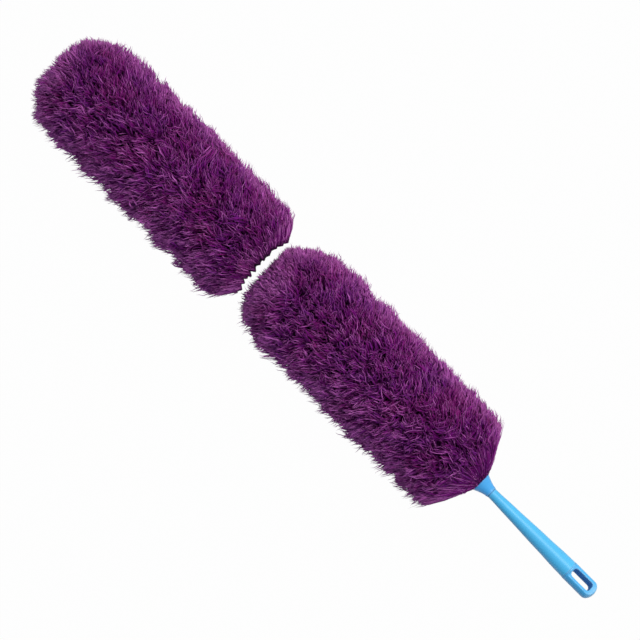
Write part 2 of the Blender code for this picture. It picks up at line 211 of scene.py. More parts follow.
# Outline of the pile as shares of its length from the neck and of its radius
outline_shares = (
    (0.000, 0.225), (0.014, 0.390), (0.027, 0.480), (0.040, 0.570), (0.053, 0.650),
    (0.066, 0.780), (0.079, 0.898), (0.092, 0.970), (0.115, 1.006), (0.200, 1.003),
    (0.800, 1.003), (0.860, 0.992), (0.895, 0.945), (0.924, 0.870), (0.950, 0.745),
    (0.964, 0.680), (0.977, 0.615), (0.988, 0.540), (0.994, 0.460), (0.997, 0.000),
)
pile_outline = np.array(outline_shares) * (pile_length, pile_radius)

# How much fuller the pile is on its -Y side, by shares of its length from the neck
lopsided_shares = (
    (0.00, 0.00), (0.05, 0.035), (0.09, 0.050), (0.20, 0.028),
    (0.84, 0.028), (0.92, 0.085), (1.00, 0.090),
)
quarters = ("left", "top", "right", "bottom")
forward = np.array([-1.0, 0.0, 0.0])

# The fibre's map: height up the fibre, and a narrow row for each shade and hue
shade_steps = 16
hue_steps = 4
map_rows = shade_steps * hue_steps
fibre_map = "OFBake"
row_share = 0.3
root_lift = 0.01
# Where the bed of painted shade sits on the map: the darkest row
shade_bed_place = (0.04, 0.008)
shade_bed_size = (0.02, 0.006)

# Painted shade: a dark shell under the fibres and the disc that closes its tip
bed_inset = 0.004
bed_radius = 0.050
bed_tip_radius = 0.030
bed_lip = 0.003
bed_turn_steps = 8
disc_radii = (0.0277, 0.0262)
disc_depths = (0.0085, 0.0090)
disc_round = 0.002
disc_sides = 36

# How unlike each other the tufts are
tuft_turn_jitter = 0.35
tuft_row_jitter = 0.45
tuft_lean_spread = math.radians(10)
tuft_turn_spread = math.radians(17)
tuft_reach = (-0.0024, 0.0024)
tuft_point = 0.0038
tuft_swell = 0.0013
tuft_shade_spread = 0.11
hollow_share = 0.12
hollow_depth = (0.004, 0.009)
# Painted shade on the sunken tufts
hollow_painted_shade = 0.10
swell_size = 0.022
swell_shade = 0.09
drift_waves = 8
drift_turns = 6
drift_pitches = (1.6, 3.4)
drift_scale = 2.6

# How unlike each other the strands are
strand_lean_spread = math.radians(8)
strand_turn_spread = math.radians(10)
strand_scatter = 0.40
strand_sink = 0.0012
strand_lengths = (0.80, 1.15)
strand_widths = (0.75, 1.15)
buried_share = 0.32
buried_depth = (0.003, 0.010)
# Painted shade on buried strands, per metre of their depth
buried_painted_shade = 10
stray_share = 0.17
stray_reach = (0.0002, 0.0048)
# Strays are paler fibres, and also painted paler as light shining through them
stray_lit_shades = (0.60, 1.00)
stray_width = 0.5
# Bright strands: paler fibres that also stand for painted highlights on the fibres
bright_share = 0.038
bright_highlight_shades = (0.85, 1.00)
bright_curl = 1.6
curl = 0.0028
kink = 0.0008
kink_spread = (0.4, 1.4)
kink_rings = (0.0, 0.0, 1.0, -0.5, 0.6)
root_sweep = math.radians(16)

# The round tip: the fan of its strands, the tufts that point straight on, and its own panel
fan_hub_share = 0.78
nose_share = 0.965
nose_reach_share = 0.4
tip_panel_shares = (0.95, 0.5)

# On the side that the key lamp reaches the pile lies smoother, its random tone and painted shade
# vary less and it has fewer bright strands
calm_side = (-0.15, 0.45)
calm_point_share = 0.40
calm_hollow_share = 0.80
calm_stray_share = 0.35
calm_shade_share = 0.60
calm_bright_share = 0.60

# How the pile's shade changes: by the cosine of the angle from +Y, at the tip, neck and cut. Most
# of it is painted light and shade
pile_shade = 0.45
# Painted light and shade by side: the rims are painted paler and the crown darker
side_painted_light = (
    (-1.00, 0.95), (-0.88, 0.36), (-0.80, 0.12), (-0.62, -0.02), (-0.15, -0.02),
    (0.15, -0.13), (0.42, -0.09), (0.68, -0.13), (0.80, 0.02), (0.95, 0.34),
)
# Painted light: the tip is painted paler, more so on the side away from the key lamp
tip_zone = 0.042
tip_painted_light = 0.70
tip_side_share = 0.4
# Painted shade on the pile near the neck, by the collar, most on its top and underneath
neck_zone = 0.130
neck_painted_shade = 0.26
# Painted shade on the spare head's pile near its cut
cut_zone = 0.024
cut_painted_shade = 0.30
# On the rims the tufts reach more unevenly, and their random tone and painted shade vary more
rough_from = 0.45
rough_share = 1.2
rough_upper_share = 0.5
rough_inset = 0.0017
# Painted shade in the clefts between tufts: a strand is darker the further it stands from its
# tuft's middle
cleft_painted_shade = 0.08
mean_aside = 1.25
strand_shade_spread = 0.11

# How the fibres' hue, between violet and rose, changes
pile_hue = 0.45
hue_size = 0.040
hue_drift = 0.20
tuft_hue_spread = 0.16
strand_hue_spread = 0.12

# Strands that start at the hem and lie along the cone behind the collar
hem_zone = 0.046
hem_zone_shares = (0.4, 1.0)
hem_root = (0.0008, 0.0060)
hem_bow = (0.00, 0.07)

# The cut across the spare head's open end: teeth, and corners that reach further
cut_tooth = (0.0014, 0.0070)
cut_depth = (0.0002, 0.0038)
cut_seed = 23
cut_corner = 0.0080
cut_corner_span = (0.0220, 0.0430)
end_reach = (0.0100, 0.0240)
end_sink = 0.0030
trim_steps = 32
most_cut_share = 0.85

# Where along a strand its rings sit, how thick they are and how high on the fibre's map
ring_shares = (0.00, 0.42, 0.66, 0.85, 1.00)
hem_ring_shares = (0.00, 0.34, 0.62, 0.86, 1.00)
ring_widths = (0.80, 1.00, 0.98, 0.56)
hem_ring_widths = (0.42, 0.80, 1.00, 0.60)
free_heights = (0.08, 0.46, 0.68, 0.85, 1.00)
hem_heights = (0.04, 0.44, 0.70, 0.88, 1.00)
resting_widths = (1.3, 1.2, 1.1, 1.0, 0.5)

# Masks in the shades of a fibre: from and to on the map, then the mask's own from and to
rose_mask = (0.4, 1.0, 0.0, 0.55)
violet_mask = (0.3, 0.0, 0.0, 0.28)
pale_mask = (0.5, 1.0, 0.0, 1.0)
pale_power = 1.5
deep_mask = (0.5, 0.0, 0.0, 0.8)
# Painted light: each fibre's end is paler towards the tip colour, more so on paler fibres
lit_end_mask = (0.80, 1.0, 0.0, 0.5)
lit_end_shade = 0.3
# Painted shade: each fibre darkens towards its root, deep in the pile
root_shade_mask = (0.74, 0.12, 0.0, 1.0)
fibre_roughness = (0.0, 1.0, 0.90, 0.60)

# Masks and tints of moulded plastic and of cloth
flow_stretch = (0.25, 1, 1)
flow_mask = (0.3, 0.7, 0.0, 0.07)
# Patches that break up the painted highlight
highlight_patch_mask = (0.25, 0.5, 0.0, 1.0)
roughness_spread = (0.0, 1.0, -0.05, 0.05)
# Painted highlight on bent edges and the loop's end: mixed towards a pale cyan, and a little
# rougher
highlight_share = 0.70
highlight_pale_share = 0.6
highlight_roughness = 0.12
highlight_tint = (0.70, 0.93, 1.0, 1)
# Painted shade in recesses: mixed towards navy, and rougher
painted_shade_share = 0.55
painted_shade_roughness = 0.4
painted_shade_tint = (0.0, 0.12, 0.50, 1)
slub_scale = 700.0
slub_share = 0.5
weave_mask = (0.0, 1.4, 0.5, 0.0)
bump_strength = 0.6
plastic_grain = 0.000005
rubber_grain = 0.00006
steel_grain = 0.00001
cloth_relief = 0.00015
white = (1, 1, 1, 1)
black = (0, 0, 0, 1)

# Stage
floor_size = 14
floor_roughness = 0.9
floor_specular = 0.1
floor_glow_share = 0.985
key_place = (0.25, 0.85, 1.50)
key_size = (1.4, 0.9)
surround_span = (-1.0, 0.6, 0.0, 1.0)
surround_tint = (0.17, 0.20, 0.29, 1)
sensor_width = 36
clip_end = 100


def linear(red, green, blue):
    """A colour picked as 0 to 255 screen values, as linear light."""
    made = []
    for value in (red, green, blue):
        share = value / 255
        made.append(share / 12.92 if share < 0.04045 else ((share + 0.055) / 1.055) ** 2.4)
    return tuple(made)


def opaque(colour):
    return (*colour, 1.0)


def colour_property(name, description, *screen):
    return FloatVectorProperty(
        name=name,
        description=description,
        subtype="COLOR",
        size=3,
        min=0,
        max=1,
        default=linear(*screen),
    )


def length_property(name, description, default):
    return FloatProperty(name=name, description=description, default=default, unit="LENGTH")


def angle_property(name, description, degrees):
    return FloatProperty(
        name=name, description=description, default=math.radians(degrees), subtype="ANGLE"
    )


class PileSettings(bpy.types.PropertyGroup):
    tuft_spacing: length_property(
        "Tuft spacing", "Distance between neighbouring tufts at their ends", 0.0092
    )
    strands_per_tuft: IntProperty(
        name="Strands in a tuft", description="Fibres that lean together", default=14, min=1
    )
    strand_length: length_property(
        "Strand length", "Length of a fibre from inside the pile to its end", 0.0300
    )
    strand_radius: length_property(
        "Strand radius", "Radius of a fibre along its thick part", 0.00108
    )
    lean: angle_property("Lean", "Angle between a fibre's end and the duster's axis", 57)
    seed: IntProperty(name="Seed", description="Seed of the fibres' places", default=11)
    # The root colour is painted shade deep in the pile
    root_colour: colour_property("Root colour", "Deep in the pile", 92, 0, 94)
    body_colour: colour_property("Fibre colour", "Main colour of the fibres", 128, 29, 128)
    light_colour: colour_property("Light fibre colour", "The palest fibres", 206, 111, 200)
    # The tip colour is painted light through the thin ends
    tip_colour: colour_property("Tip colour", "Colour of the thin ends", 222, 133, 206)
    rose_colour: colour_property("Rose fibre colour", "The reddest fibres", 150, 36, 116)
    violet_colour: colour_property("Violet fibre colour", "The bluest fibres", 100, 40, 150)


class HandleSettings(bpy.types.PropertyGroup):
    collar_colour: colour_property("Collar colour", "Plastic of the neck collar", 76, 184, 255)
    grip_colour: colour_property("Grip colour", "Plastic of the grip", 84, 201, 255)
    loop_colour: colour_property("Loop colour", "Plastic of the hanging loop", 79, 190, 250)
    core_colour: colour_property("Core colour", "Plastic of the core tube", 196, 198, 200)
    rubber_colour: colour_property("Rubber colour", "Rubber of the washer", 78, 169, 222)
    rivet_colour: colour_property("Rivet colour", "Steel of the rivet", 190, 192, 195)
    roughness: FloatProperty(
        name="Roughness", description="Roughness of the blue plastic", default=0.34, min=0, max=1
    )


class SleeveSettings(bpy.types.PropertyGroup):
    backing_colour: colour_property("Backing colour", "Fabric that carries the pile", 66, 28, 70)
    hem_colour: colour_property("Hem colour", "Fabric of the folded hem", 58, 24, 62)
    thread_colour: colour_property("Thread colour", "Sewing thread of the hem", 120, 70, 124)
    elastic_colour: colour_property("Elastic colour", "Elastic cord in the hem", 225, 225, 222)


class StageSettings(bpy.types.PropertyGroup):
    view_width: length_property("View width", "Width that the camera sees", 0.8)
    lens: FloatProperty(name="Lens", description="Focal length in millimetres", default=150)
    roll: angle_property("Roll", "Turn of the camera", 45)
    aim: FloatVectorProperty(
        name="Aim",
        description="Point at the middle of the picture",
        default=(-0.0097, 0.0010, neck.z),
        subtype="TRANSLATION",
    )
    key_power: FloatProperty(name="Key lamp", description="Power in watts", default=16)
    world_light: FloatProperty(
        name="Surround", description="Strength of the light from all round", default=0.72
    )
    floor_colour: colour_property("Floor colour", "Colour of the floor", 132, 132, 135)


# Helpers for selecting and shaping


def go_to(mode):
    bpy.ops.object.mode_set(mode=mode)


def only(*objects):
    """Leaves just these objects selected, the first of them active."""
    if bpy.context.object and bpy.context.object.mode != "OBJECT":
        go_to("OBJECT")
    bpy.ops.object.select_all(action="DESELECT")
    for obj in objects:
        obj.select_set(True)
    bpy.context.view_layer.objects.active = objects[0]


def select_where(obj, kind, wanted):
    """Selects the vertices, edges or polygons of an object in edit mode that are wanted."""
    bpy.ops.mesh.select_all(action="DESELECT")
    go_to("OBJECT")
    for element in getattr(obj.data, kind):
        element.select = wanted(element)
    go_to("EDIT")


def new_primitive(add, name, **options):
    bpy.ops.object.select_all(action="DESELECT")
    add(**options)
    obj = bpy.context.object
    obj.name = name
    obj.data.name = name
    return obj


def new_object(name, mesh):
    made = bpy.data.objects.new(name, mesh)
    bpy.context.scene.collection.objects.link(made)
    return made


def place_in_mesh(obj):
    """Moves the object's place and turn into its mesh."""
    only(obj)
    bpy.ops.object.transform_apply(location=True, rotation=True, scale=True)
    return obj


def apply_modifiers(obj):
    only(obj)
    for modifier in list(obj.modifiers):
        bpy.ops.object.modifier_apply(modifier=modifier.name)


def smooth(obj, angle=crisp_angle):
    only(obj)
    bpy.ops.object.shade_smooth_by_angle(angle=math.radians(angle))


def weld():
    """Closes the seams of the mesh in edit mode, turns its faces outwards and leaves edit mode."""
    bpy.ops.mesh.select_all(action="SELECT")
    bpy.ops.mesh.remove_doubles(threshold=weld_distance)
    bpy.ops.mesh.normals_make_consistent(inside=False)
    go_to("OBJECT")


def points_of(obj):
    points = np.zeros(len(obj.data.vertices) * 3, np.float32)
    obj.data.vertices.foreach_get("co", points)
    return points.reshape(-1, 3).astype(float)


def set_points(obj, points):
    obj.data.vertices.foreach_set("co", points.astype(np.float32).ravel())
    obj.data.update()


def on_axis(along):
    return Vector((neck.x + along, neck.y, neck.z))


def round_the_axis(points):
    """Distance along the axis from the neck, radius and angle about the axis of each point."""
    y, z = points[:, 1] - neck.y, points[:, 2] - neck.z
    return points[:, 0] - neck.x, np.hypot(y, z), np.arctan2(z, y)


def from_the_axis(along, radius, angle):
    across = neck.y + radius * np.cos(angle)
    return np.stack([neck.x + along, across, neck.z + radius * np.sin(angle)], -1)


def progress(value, start, end):
    """How far the value has come from start to end, 0 to 1."""
    return np.clip((value - start) / (end - start), 0, 1)


def unit(vectors):
    return vectors / np.linalg.norm(vectors, axis=-1, keepdims=True)


def eased(profile, width=edge_round):
    """Rounds each sharp corner of a profile of (along, radius) points that has room for it."""
    made = [profile[0]]
    for before, corner, after in zip(profile, profile[1:], profile[2:]):
        corner_point = Vector(corner)
        back, ahead = Vector(before) - corner_point, Vector(after) - corner_point
        room = min(back.length, ahead.length) * corner_room_share
        if room < weld_distance or back.angle(ahead) > plain_bend or corner[1] == 0:
            made.append(corner)
            continue
        start = corner_point + back.normalized() * min(width, room)
        end = corner_point + ahead.normalized() * min(width, room)
        for share in np.linspace(0, 1, corner_steps + 1):
            bend = start.lerp(corner_point, share).lerp(corner_point.lerp(end, share), share)
            made.append((bend.x, bend.y))
    made.append(profile[-1])
    return made


def turned(name, profile, ring=False, sides=turned_sides, shift=0.0):
    """Turns a profile of (along, radius) points into a closed piece, one circle after another.

    A ring's profile goes round and ends where it starts. Any other starts and ends on the axis.
    """
    profile = [(along + shift, radius) for along, radius in profile]
    rings = profile if ring else profile[1:-1]
    (start, radius), rest = rings[0], rings[1:]
    centre = on_axis(start)
    obj = new_primitive(
        bpy.ops.mesh.primitive_circle_add,
        name,
        vertices=sides,
        radius=radius,
        fill_type="NOTHING",
        location=centre,
        rotation=(0, math.pi / 2, 0),
    )
    place_in_mesh(obj)
    go_to("EDIT")
    bpy.ops.mesh.select_all(action="SELECT")
    if not ring:
        close_pole(profile[0][0] - start)
        select_where(obj, "vertices", lambda vertex: vertex.index < sides)
    for along, wider in rest:
        centre.x = neck.x + along
        bpy.ops.mesh.extrude_region_move(
            TRANSFORM_OT_translate={"value": (along - start, 0, 0), "use_proportional_edit": False}
        )
        share = wider / radius
        if share != 1:
            bpy.ops.transform.resize(value=(1, share, share), center_override=centre)
        start, radius = along, wider
    if not ring:
        close_pole(profile[-1][0] - start)
    weld()
    smooth(obj)
    return obj


def close_pole(step):
    """Draws the selected circle to a point on the axis, this far along."""
    bpy.ops.mesh.extrude_region_move(TRANSFORM_OT_translate={"value": (step, 0, 0)})
    bpy.ops.mesh.merge(type="CENTER")


def pipe_section(near, far, first, second):
    """Closed profile of a plain pipe, from the middle of its near end and the first wall on."""
    middle = (near, (first + second) / 2)
    return [middle, (near, first), (far, first), (far, second), (near, second), middle]


def dome(start, end, radius, steps):
    """Profile of a round end that closes on the axis."""
    angles = np.linspace(0, math.pi / 2, steps)[:-1]
    rise = [(start + (end - start) * math.sin(a), radius * math.cos(a)) for a in angles]
    return [*rise, (end, 0)]


def stations(start, end, step):
    """Distances from start to end, no further apart than step."""
    return np.linspace(start, end, max(2, math.ceil(abs(end - start) / step) + 1))


def filled_in(profile, step):
    """The profile with points added where its own are further apart along the axis than step."""
    made = []
    for (start, radius), (end, next_radius) in zip(profile, profile[1:]):
        parts = max(1, math.ceil(abs(end - start) / step))
        for share in np.arange(parts) / parts:
            made.append((start + (end - start) * share, radius + (next_radius - radius) * share))
    made.append(profile[-1])
    return made


def through(points, steps):
    """A smooth curve through (along, radius) points, with this many steps between neighbours."""
    rows = [np.array(p) for p in (points[0], *points, points[-1])]
    made = []
    for before, start, end, after in zip(rows, rows[1:], rows[2:], rows[3:]):
        cubic = 3 * start - before - 3 * end + after
        square = 2 * before - 5 * start + 4 * end - after
        curve = (cubic, square, end - before, 2 * start)
        made += [tuple(np.polyval(curve, i / steps) / 2) for i in range(steps)]
    made.append(tuple(points[-1]))
    return made


def cut_thread(obj, start, end, plain_radius, depth):
    """Waves the plain wall into a right-hand round thread. Its depth is negative in a bore."""
    along, radius, angle = round_the_axis(points_of(obj))
    plain = np.abs(radius - plain_radius) < 4 * weld_distance
    inside = plain & (along > start) & (along < end)
    wave = np.cos(2 * np.pi * along / thread_pitch - angle) * np.sign(depth)
    fade = progress(np.minimum(along - start, end - along), 0, thread_fade)
    radius = np.where(inside, radius + depth * (1 + wave) / 2 * fade, radius)
    set_points(obj, from_the_axis(along, radius, angle))


def cut_with(obj, cutter):
    """Cuts the cutter out of the object and removes it."""
    boolean = obj.modifiers.new("cut", "BOOLEAN")
    boolean.operation = "DIFFERENCE"
    boolean.solver = "EXACT"
    boolean.object = cutter
    apply_modifiers(obj)
    bpy.data.objects.remove(cutter)


def add_map(mesh, name, places):
    """Adds a UV map with a place for each corner of each face."""
    layer = mesh.uv_layers.new(name=name)
    layer.data.foreach_set("uv", places.astype(np.float32).ravel())


def wrap_cloth(obj):
    """A map of the cloth in metres: along the axis, and round it at the sleeve's radius."""
    mesh = obj.data
    corners = np.zeros(len(mesh.loops), np.int32)
    mesh.loops.foreach_get("vertex_index", corners)
    along, _, angle = round_the_axis(points_of(obj))
    places = np.stack([along[corners], angle[corners]], 1)
    for face in mesh.polygons:
        turn = places[face.loop_start : face.loop_start + face.loop_total, 1]
        if np.ptp(turn) > math.pi:
            turn[turn < 0] += 2 * math.pi
    places[:, 1] *= core_radius + backing_wall
    add_map(mesh, cloth_map, places)


# Materials


def new_group(name, inputs, outputs):
    """A shader node group with these (name, kind, default) inputs and (name, kind) outputs."""
    tree = bpy.data.node_groups.new(name, "ShaderNodeTree")
    for label, kind, default in inputs:
        socket = tree.interface.new_socket(label, in_out="INPUT", socket_type="NodeSocket" + kind)
        socket.default_value = default
    for label, kind in outputs:
        tree.interface.new_socket(label, in_out="OUTPUT", socket_type="NodeSocket" + kind)
    given, out = tree.nodes.new("NodeGroupInput"), tree.nodes.new("NodeGroupOutput")
    return tree, given.outputs, out.inputs


def node(tree, kind, values=(), **settings):
    """A new shader node. Values are sockets or numbers, by the input's name or place."""
    made = tree.nodes.new("ShaderNode" + kind)
    for key, value in settings.items():
        setattr(made, key, value)
    for key, value in dict(values).items():
        if isinstance(value, bpy.types.NodeSocket):
            tree.links.new(value, made.inputs[key])
        else:
            made.inputs[key].default_value = value
    return made


def maths(tree, operation, *values):
    return node(tree, "Math", enumerate(values), operation=operation).outputs[0]


def masked(tree, value, start, end, low, high):
    """The value's way from start to end, as a mask from low to high."""
    span = {"Value": value, "From Min": start, "From Max": end, "To Min": low, "To Max": high}
    return node(tree, "MapRange", span).outputs[0]


def mixed(tree, share, first, second):
    """A mix of two colours, whose sockets come after those for numbers and vectors."""
    return node(tree, "Mix", {0: share, 6: first, 7: second}, data_type="RGBA").outputs[2]


def noise(tree, place, scale, detail):
    values = {"Vector": place, "Scale": scale, "Detail": detail}
    return node(tree, "TexNoise", values).outputs[0]


fibre_tones = ("Root", "Body", "Light", "Tip", "Rose", "Violet")


def fibre_shades():
    """Colours of a fibre, with painted shade towards its root and painted light at its end, and
    the shade and hue that its row of the map says.

    The map's rows climb through the shades, with the hues of each shade side by side.
    """
    tones = [(tone, "Color", black) for tone in fibre_tones]
    tree, given, out = new_group(
        "fibre_shades", tones, [("Colour", "Color"), ("Roughness", "Float")]
    )
    place = node(tree, "UVMap", uv_map=fibre_map).outputs[0]
    up, across, _ = node(tree, "SeparateXYZ", {0: place}).outputs
    row = maths(tree, "FLOOR", maths(tree, "MULTIPLY", across, map_rows))
    step = maths(tree, "FLOOR", maths(tree, "DIVIDE", row, hue_steps))
    shade = maths(tree, "DIVIDE", step, shade_steps - 1)
    hue = maths(tree, "DIVIDE", maths(tree, "MODULO", row, hue_steps), hue_steps - 1)
    pale = maths(tree, "POWER", masked(tree, shade, *pale_mask), pale_power)
    lit_end = masked(tree, up, *lit_end_mask)
    lit_end = maths(tree, "MULTIPLY", lit_end, maths(tree, "ADD", shade, lit_end_shade))
    colour = given["Body"]
    for mask, tone in (
        (masked(tree, hue, *rose_mask), "Rose"),
        (masked(tree, hue, *violet_mask), "Violet"),
        (pale, "Light"),
        (masked(tree, shade, *deep_mask), "Root"),
        (lit_end, "Tip"),
        (masked(tree, up, *root_shade_mask), "Root"),
    ):
        colour = mixed(tree, mask, colour, given[tone])
    tree.links.new(colour, out["Colour"])
    tree.links.new(masked(tree, shade, *fibre_roughness), out["Roughness"])
    return tree


def moulded_grain():
    """Faint flow marks in the colour, painted highlights on bent edges, painted shade in recesses
    and a fine satin grain.
    """
    tree, given, out = new_group(
        "moulded_grain",
        [
            ("Base", "Color", white),
            ("Flow", "Float", 60.0),
            ("Grain", "Float", 2600.0),
            ("Scuffs", "Float", 350.0),
            ("Roughness", "Float", 0.35),
            ("Worn", "Float", 0.0),
            ("Recess", "Float", 0.0),
        ],
        [("Colour", "Color"), ("Roughness", "Float"), ("Height", "Float")],
    )
    base, painted_shade = given["Base"], given["Recess"]
    place = node(tree, "TexCoord").outputs["Object"]
    stretched = node(tree, "Mapping", {"Vector": place, "Scale": flow_stretch}).outputs[0]
    flow = noise(tree, stretched, given["Flow"], 3.0)
    patches = masked(tree, noise(tree, place, given["Scuffs"], 3.0), *highlight_patch_mask)
    highlight = maths(tree, "MULTIPLY", given["Worn"], patches)
    colour = mixed(tree, masked(tree, flow, *flow_mask), base, black)
    pale = mixed(tree, highlight_pale_share, base, highlight_tint)
    colour = mixed(tree, maths(tree, "MULTIPLY", highlight, highlight_share), colour, pale)
    colour = mixed(tree, maths(tree, "MULTIPLY", painted_shade, painted_shade_share), colour, painted_shade_tint)
    tree.links.new(colour, out["Colour"])
    rough = maths(tree, "ADD", given["Roughness"], masked(tree, flow, *roughness_spread))
    rough = maths(tree, "MULTIPLY_ADD", painted_shade, painted_shade_roughness, rough)
    rough = maths(tree, "MULTIPLY_ADD", highlight, highlight_roughness, rough)
    tree.links.new(rough, out["Roughness"])
    tree.links.new(noise(tree, place, given["Grain"], 2.0), out["Height"])
    return tree


def knitted_cloth():
    """Close weave with slubs, read from the cloth's own map in metres."""
    tree, given, out = new_group(
        "knitted_cloth",
        [("Base", "Color", white), ("Pitch", "Float", 0.0009)],
        [("Colour", "Color"), ("Height", "Float")],
    )
    place = node(tree, "UVMap", uv_map=cloth_map).outputs[0]
    waves = []
    for across in node(tree, "SeparateXYZ", {0: place}).outputs[:2]:
        turns = maths(tree, "DIVIDE", across, given["Pitch"])
        waves.append(maths(tree, "SINE", maths(tree, "MULTIPLY", turns, 2 * math.pi)))
    weave = maths(tree, "MULTIPLY_ADD", maths(tree, "MULTIPLY", *waves), 0.5, 0.5)
    slubs = noise(tree, place, slub_scale, 3.0)
    height = maths(tree, "MULTIPLY_ADD", slubs, slub_share, weave)
    tree.links.new(height, out["Height"])
    shade = masked(tree, height, *weave_mask)
    tree.links.new(mixed(tree, shade, given["Base"], black), out["Colour"])
    return tree


def finish_material(name, build, values, bump=None, marks=(), **plain):
    """A Principled material fed by the group that this function builds, once for all materials.

    Marks name the inputs that read the piece's own attribute of that name.
    """
    made = bpy.data.materials.get(name)
    if made:
        return made
    made = bpy.data.materials.new(name)
    made.use_nodes = True
    tree = made.node_tree
    shader = tree.nodes["Principled BSDF"]
    for key, value in plain.items():
        shader.inputs[key.replace("_", " ")].default_value = value
    shared = bpy.data.node_groups.get(build.__name__) or build()
    group = node(tree, "Group", values, node_tree=shared)
    for mark in marks:
        amount = node(tree, "Attribute", attribute_name=mark).outputs["Fac"]
        tree.links.new(amount, group.inputs[mark])
    for key, socket in (("Colour", "Base Color"), ("Roughness", "Roughness")):
        if key in group.outputs:
            tree.links.new(group.outputs[key], shader.inputs[socket])
    if bump:
        height = {"Height": group.outputs["Height"], "Distance": bump, "Strength": bump_strength}
        tree.links.new(node(tree, "Bump", height).outputs[0], shader.inputs["Normal"])
    return made


def fibre_material():
    chosen = bpy.context.scene.duster_pile
    colours = {tone: opaque(getattr(chosen, tone.lower() + "_colour")) for tone in fibre_tones}
    return finish_material(
        "purple_fibre",
        fibre_shades,
        colours,
        Specular_IOR_Level=0.05,
        Sheen_Weight=0.08,
        Sheen_Roughness=0.45,
        Sheen_Tint=colours["Tip"],
    )


def plastic_material(name, colour, roughness, grain=plastic_grain):
    values = {"Base": opaque(colour), "Roughness": roughness}
    return finish_material(name, moulded_grain, values, bump=grain, marks=("Worn", "Recess"))


def steel_material(colour):
    values = {"Base": opaque(colour), "Roughness": 0.3, "Flow": 900.0}
    return finish_material("brushed_rivet", moulded_grain, values, bump=steel_grain, Metallic=1.0)


def cloth_material(name, pitch, colour):
    values = {"Base": opaque(colour), "Pitch": pitch}
    return finish_material(name, knitted_cloth, values, bump=cloth_relief, Roughness=0.9)


def mark(obj, name, amounts):
    """Stores one amount for each point of a piece, as the attribute of this name."""
    layer = obj.data.attributes.new(name, "FLOAT", "POINT")
    layer.data.foreach_set("value", amounts.astype(np.float32))


def mark_wear(obj, rubbed=0.0):
    """Marks a painted highlight on the points of a piece that are given, or that stand out where
    the surface bends.
    """
    mesh = obj.data
    ends = np.zeros(2 * len(mesh.edges), np.int32)
    mesh.edges.foreach_get("vertices", ends)
    normals = np.zeros(3 * len(mesh.vertices), np.float32)
    mesh.vertex_normals.foreach_get("vector", normals)
    points, normals = points_of(obj), normals.reshape(-1, 3)
    start, end = ends.reshape(-1, 2).T
    step = points[end] - points[start]
    apart = np.maximum(np.sum(step**2, 1), weld_distance**2)
    bend = np.zeros(len(points))
    for at, sign in ((start, -1), (end, 1)):
        np.add.at(bend, at, sign * np.sum(step * normals[at], 1) / apart)
    bend /= np.maximum(np.bincount(ends, minlength=len(points)), 1)
    mark(obj, "Worn", np.maximum(progress(bend, *highlight_bend), rubbed))


def finish_piece(obj, material, body, slot, *nodes):
    """Gives a piece its material and body, and hides the solids it stands for. Its slot is not
    used.
    """
    obj.data.materials.clear()
    obj.data.materials.append(material)
    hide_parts(*nodes)
    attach(obj, body)


# Pile


class Head:
    """Where one of the two heads lies, and the line that its tufts and its cut follow."""

    def __init__(self, prefix):
        self.body = {"head": "fitted_head", "spare": "spare_head"}[prefix]
        self.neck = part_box(prefix + "_pile_tip")[0].x + pile_length - neck.x
        self.mouth = self.neck + neck.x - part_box(prefix + "_pile_top")[1].x
        self.hem_end = self.mouth + seat_gap + hem_length + seat_gap
        self.is_cut = self.mouth > seat_gap

    def tuft_line(self):
        """Rows that the tufts are set along. On the cut head they begin across its open end."""
        if not self.is_cut:
            return pile_outline
        start = self.mouth - cut_corner
        rim = outline_radius(start)
        face = [(self.mouth, sleeve_radius), (self.mouth, rim), (start, rim)]
        return np.vstack([face, pile_outline[pile_outline[:, 0] > start]])

    def cut_line(self, across):
        """Distance from the neck of the jagged cut, at these places across the head."""
        rng = np.random.default_rng(cut_seed)
        most = math.ceil(2 * pile_radius / cut_tooth[0])
        knots = np.cumsum(rng.uniform(*cut_tooth, most)) - pile_radius
        teeth = rng.uniform(*cut_depth, most) * np.where(np.arange(most) % 2, 1, -1)
        rise = cut_corner * progress(np.abs(across), *cut_corner_span) ** 2
        return self.mouth + np.interp(across, knots, teeth) - rise


def outline_radius(distance, **options):
    """Radius of the pile's outside at this distance from the neck."""
    return np.interp(distance, *pile_outline.T, **options)


def lopsided(distance, angle):
    """What the pile's radius is multiplied with at this distance from the neck and angle."""
    amount = np.interp(distance, *(np.array(lopsided_shares) * (pile_length, 1)).T)
    return 1 - amount * np.cos(angle)


def drift(along, round_it, rng, size):
    """A smooth random field over the pile, about -1 to 1, that changes over this size."""
    total = np.zeros_like(along)
    for _ in range(drift_waves):
        turns = rng.integers(-drift_turns, drift_turns + 1)
        pitch = size * rng.uniform(*drift_pitches)
        total += np.sin(2 * np.pi * along / pitch + turns * round_it + rng.uniform(0, 2 * np.pi))
    return total / drift_scale


def tuft_places(rows, spacing, rng):
    """Jittered distances, radii and angles of tufts over the outline, evenly by area."""
    run = np.concatenate([[0], np.cumsum(np.hypot(*np.diff(rows, axis=0).T))])
    count = round(run[-1] / spacing)
    made = []
    for i in range(count):
        at = (i + 0.5) * run[-1] / count
        number = max(1, round(2 * math.pi * np.interp(at, run, rows[:, 1]) / spacing))
        jitter = rng.uniform(0, 1) + rng.uniform(-tuft_turn_jitter, tuft_turn_jitter, number)
        angle = 2 * math.pi * (np.arange(number) + jitter) / number
        aside = rng.uniform(-tuft_row_jitter, tuft_row_jitter, number) * spacing
        place = np.clip(at + aside, 0, run[-1])
        made.append([np.interp(place, run, rows[:, 0]), np.interp(place, run, rows[:, 1]), angle])
    return np.hstack(made)


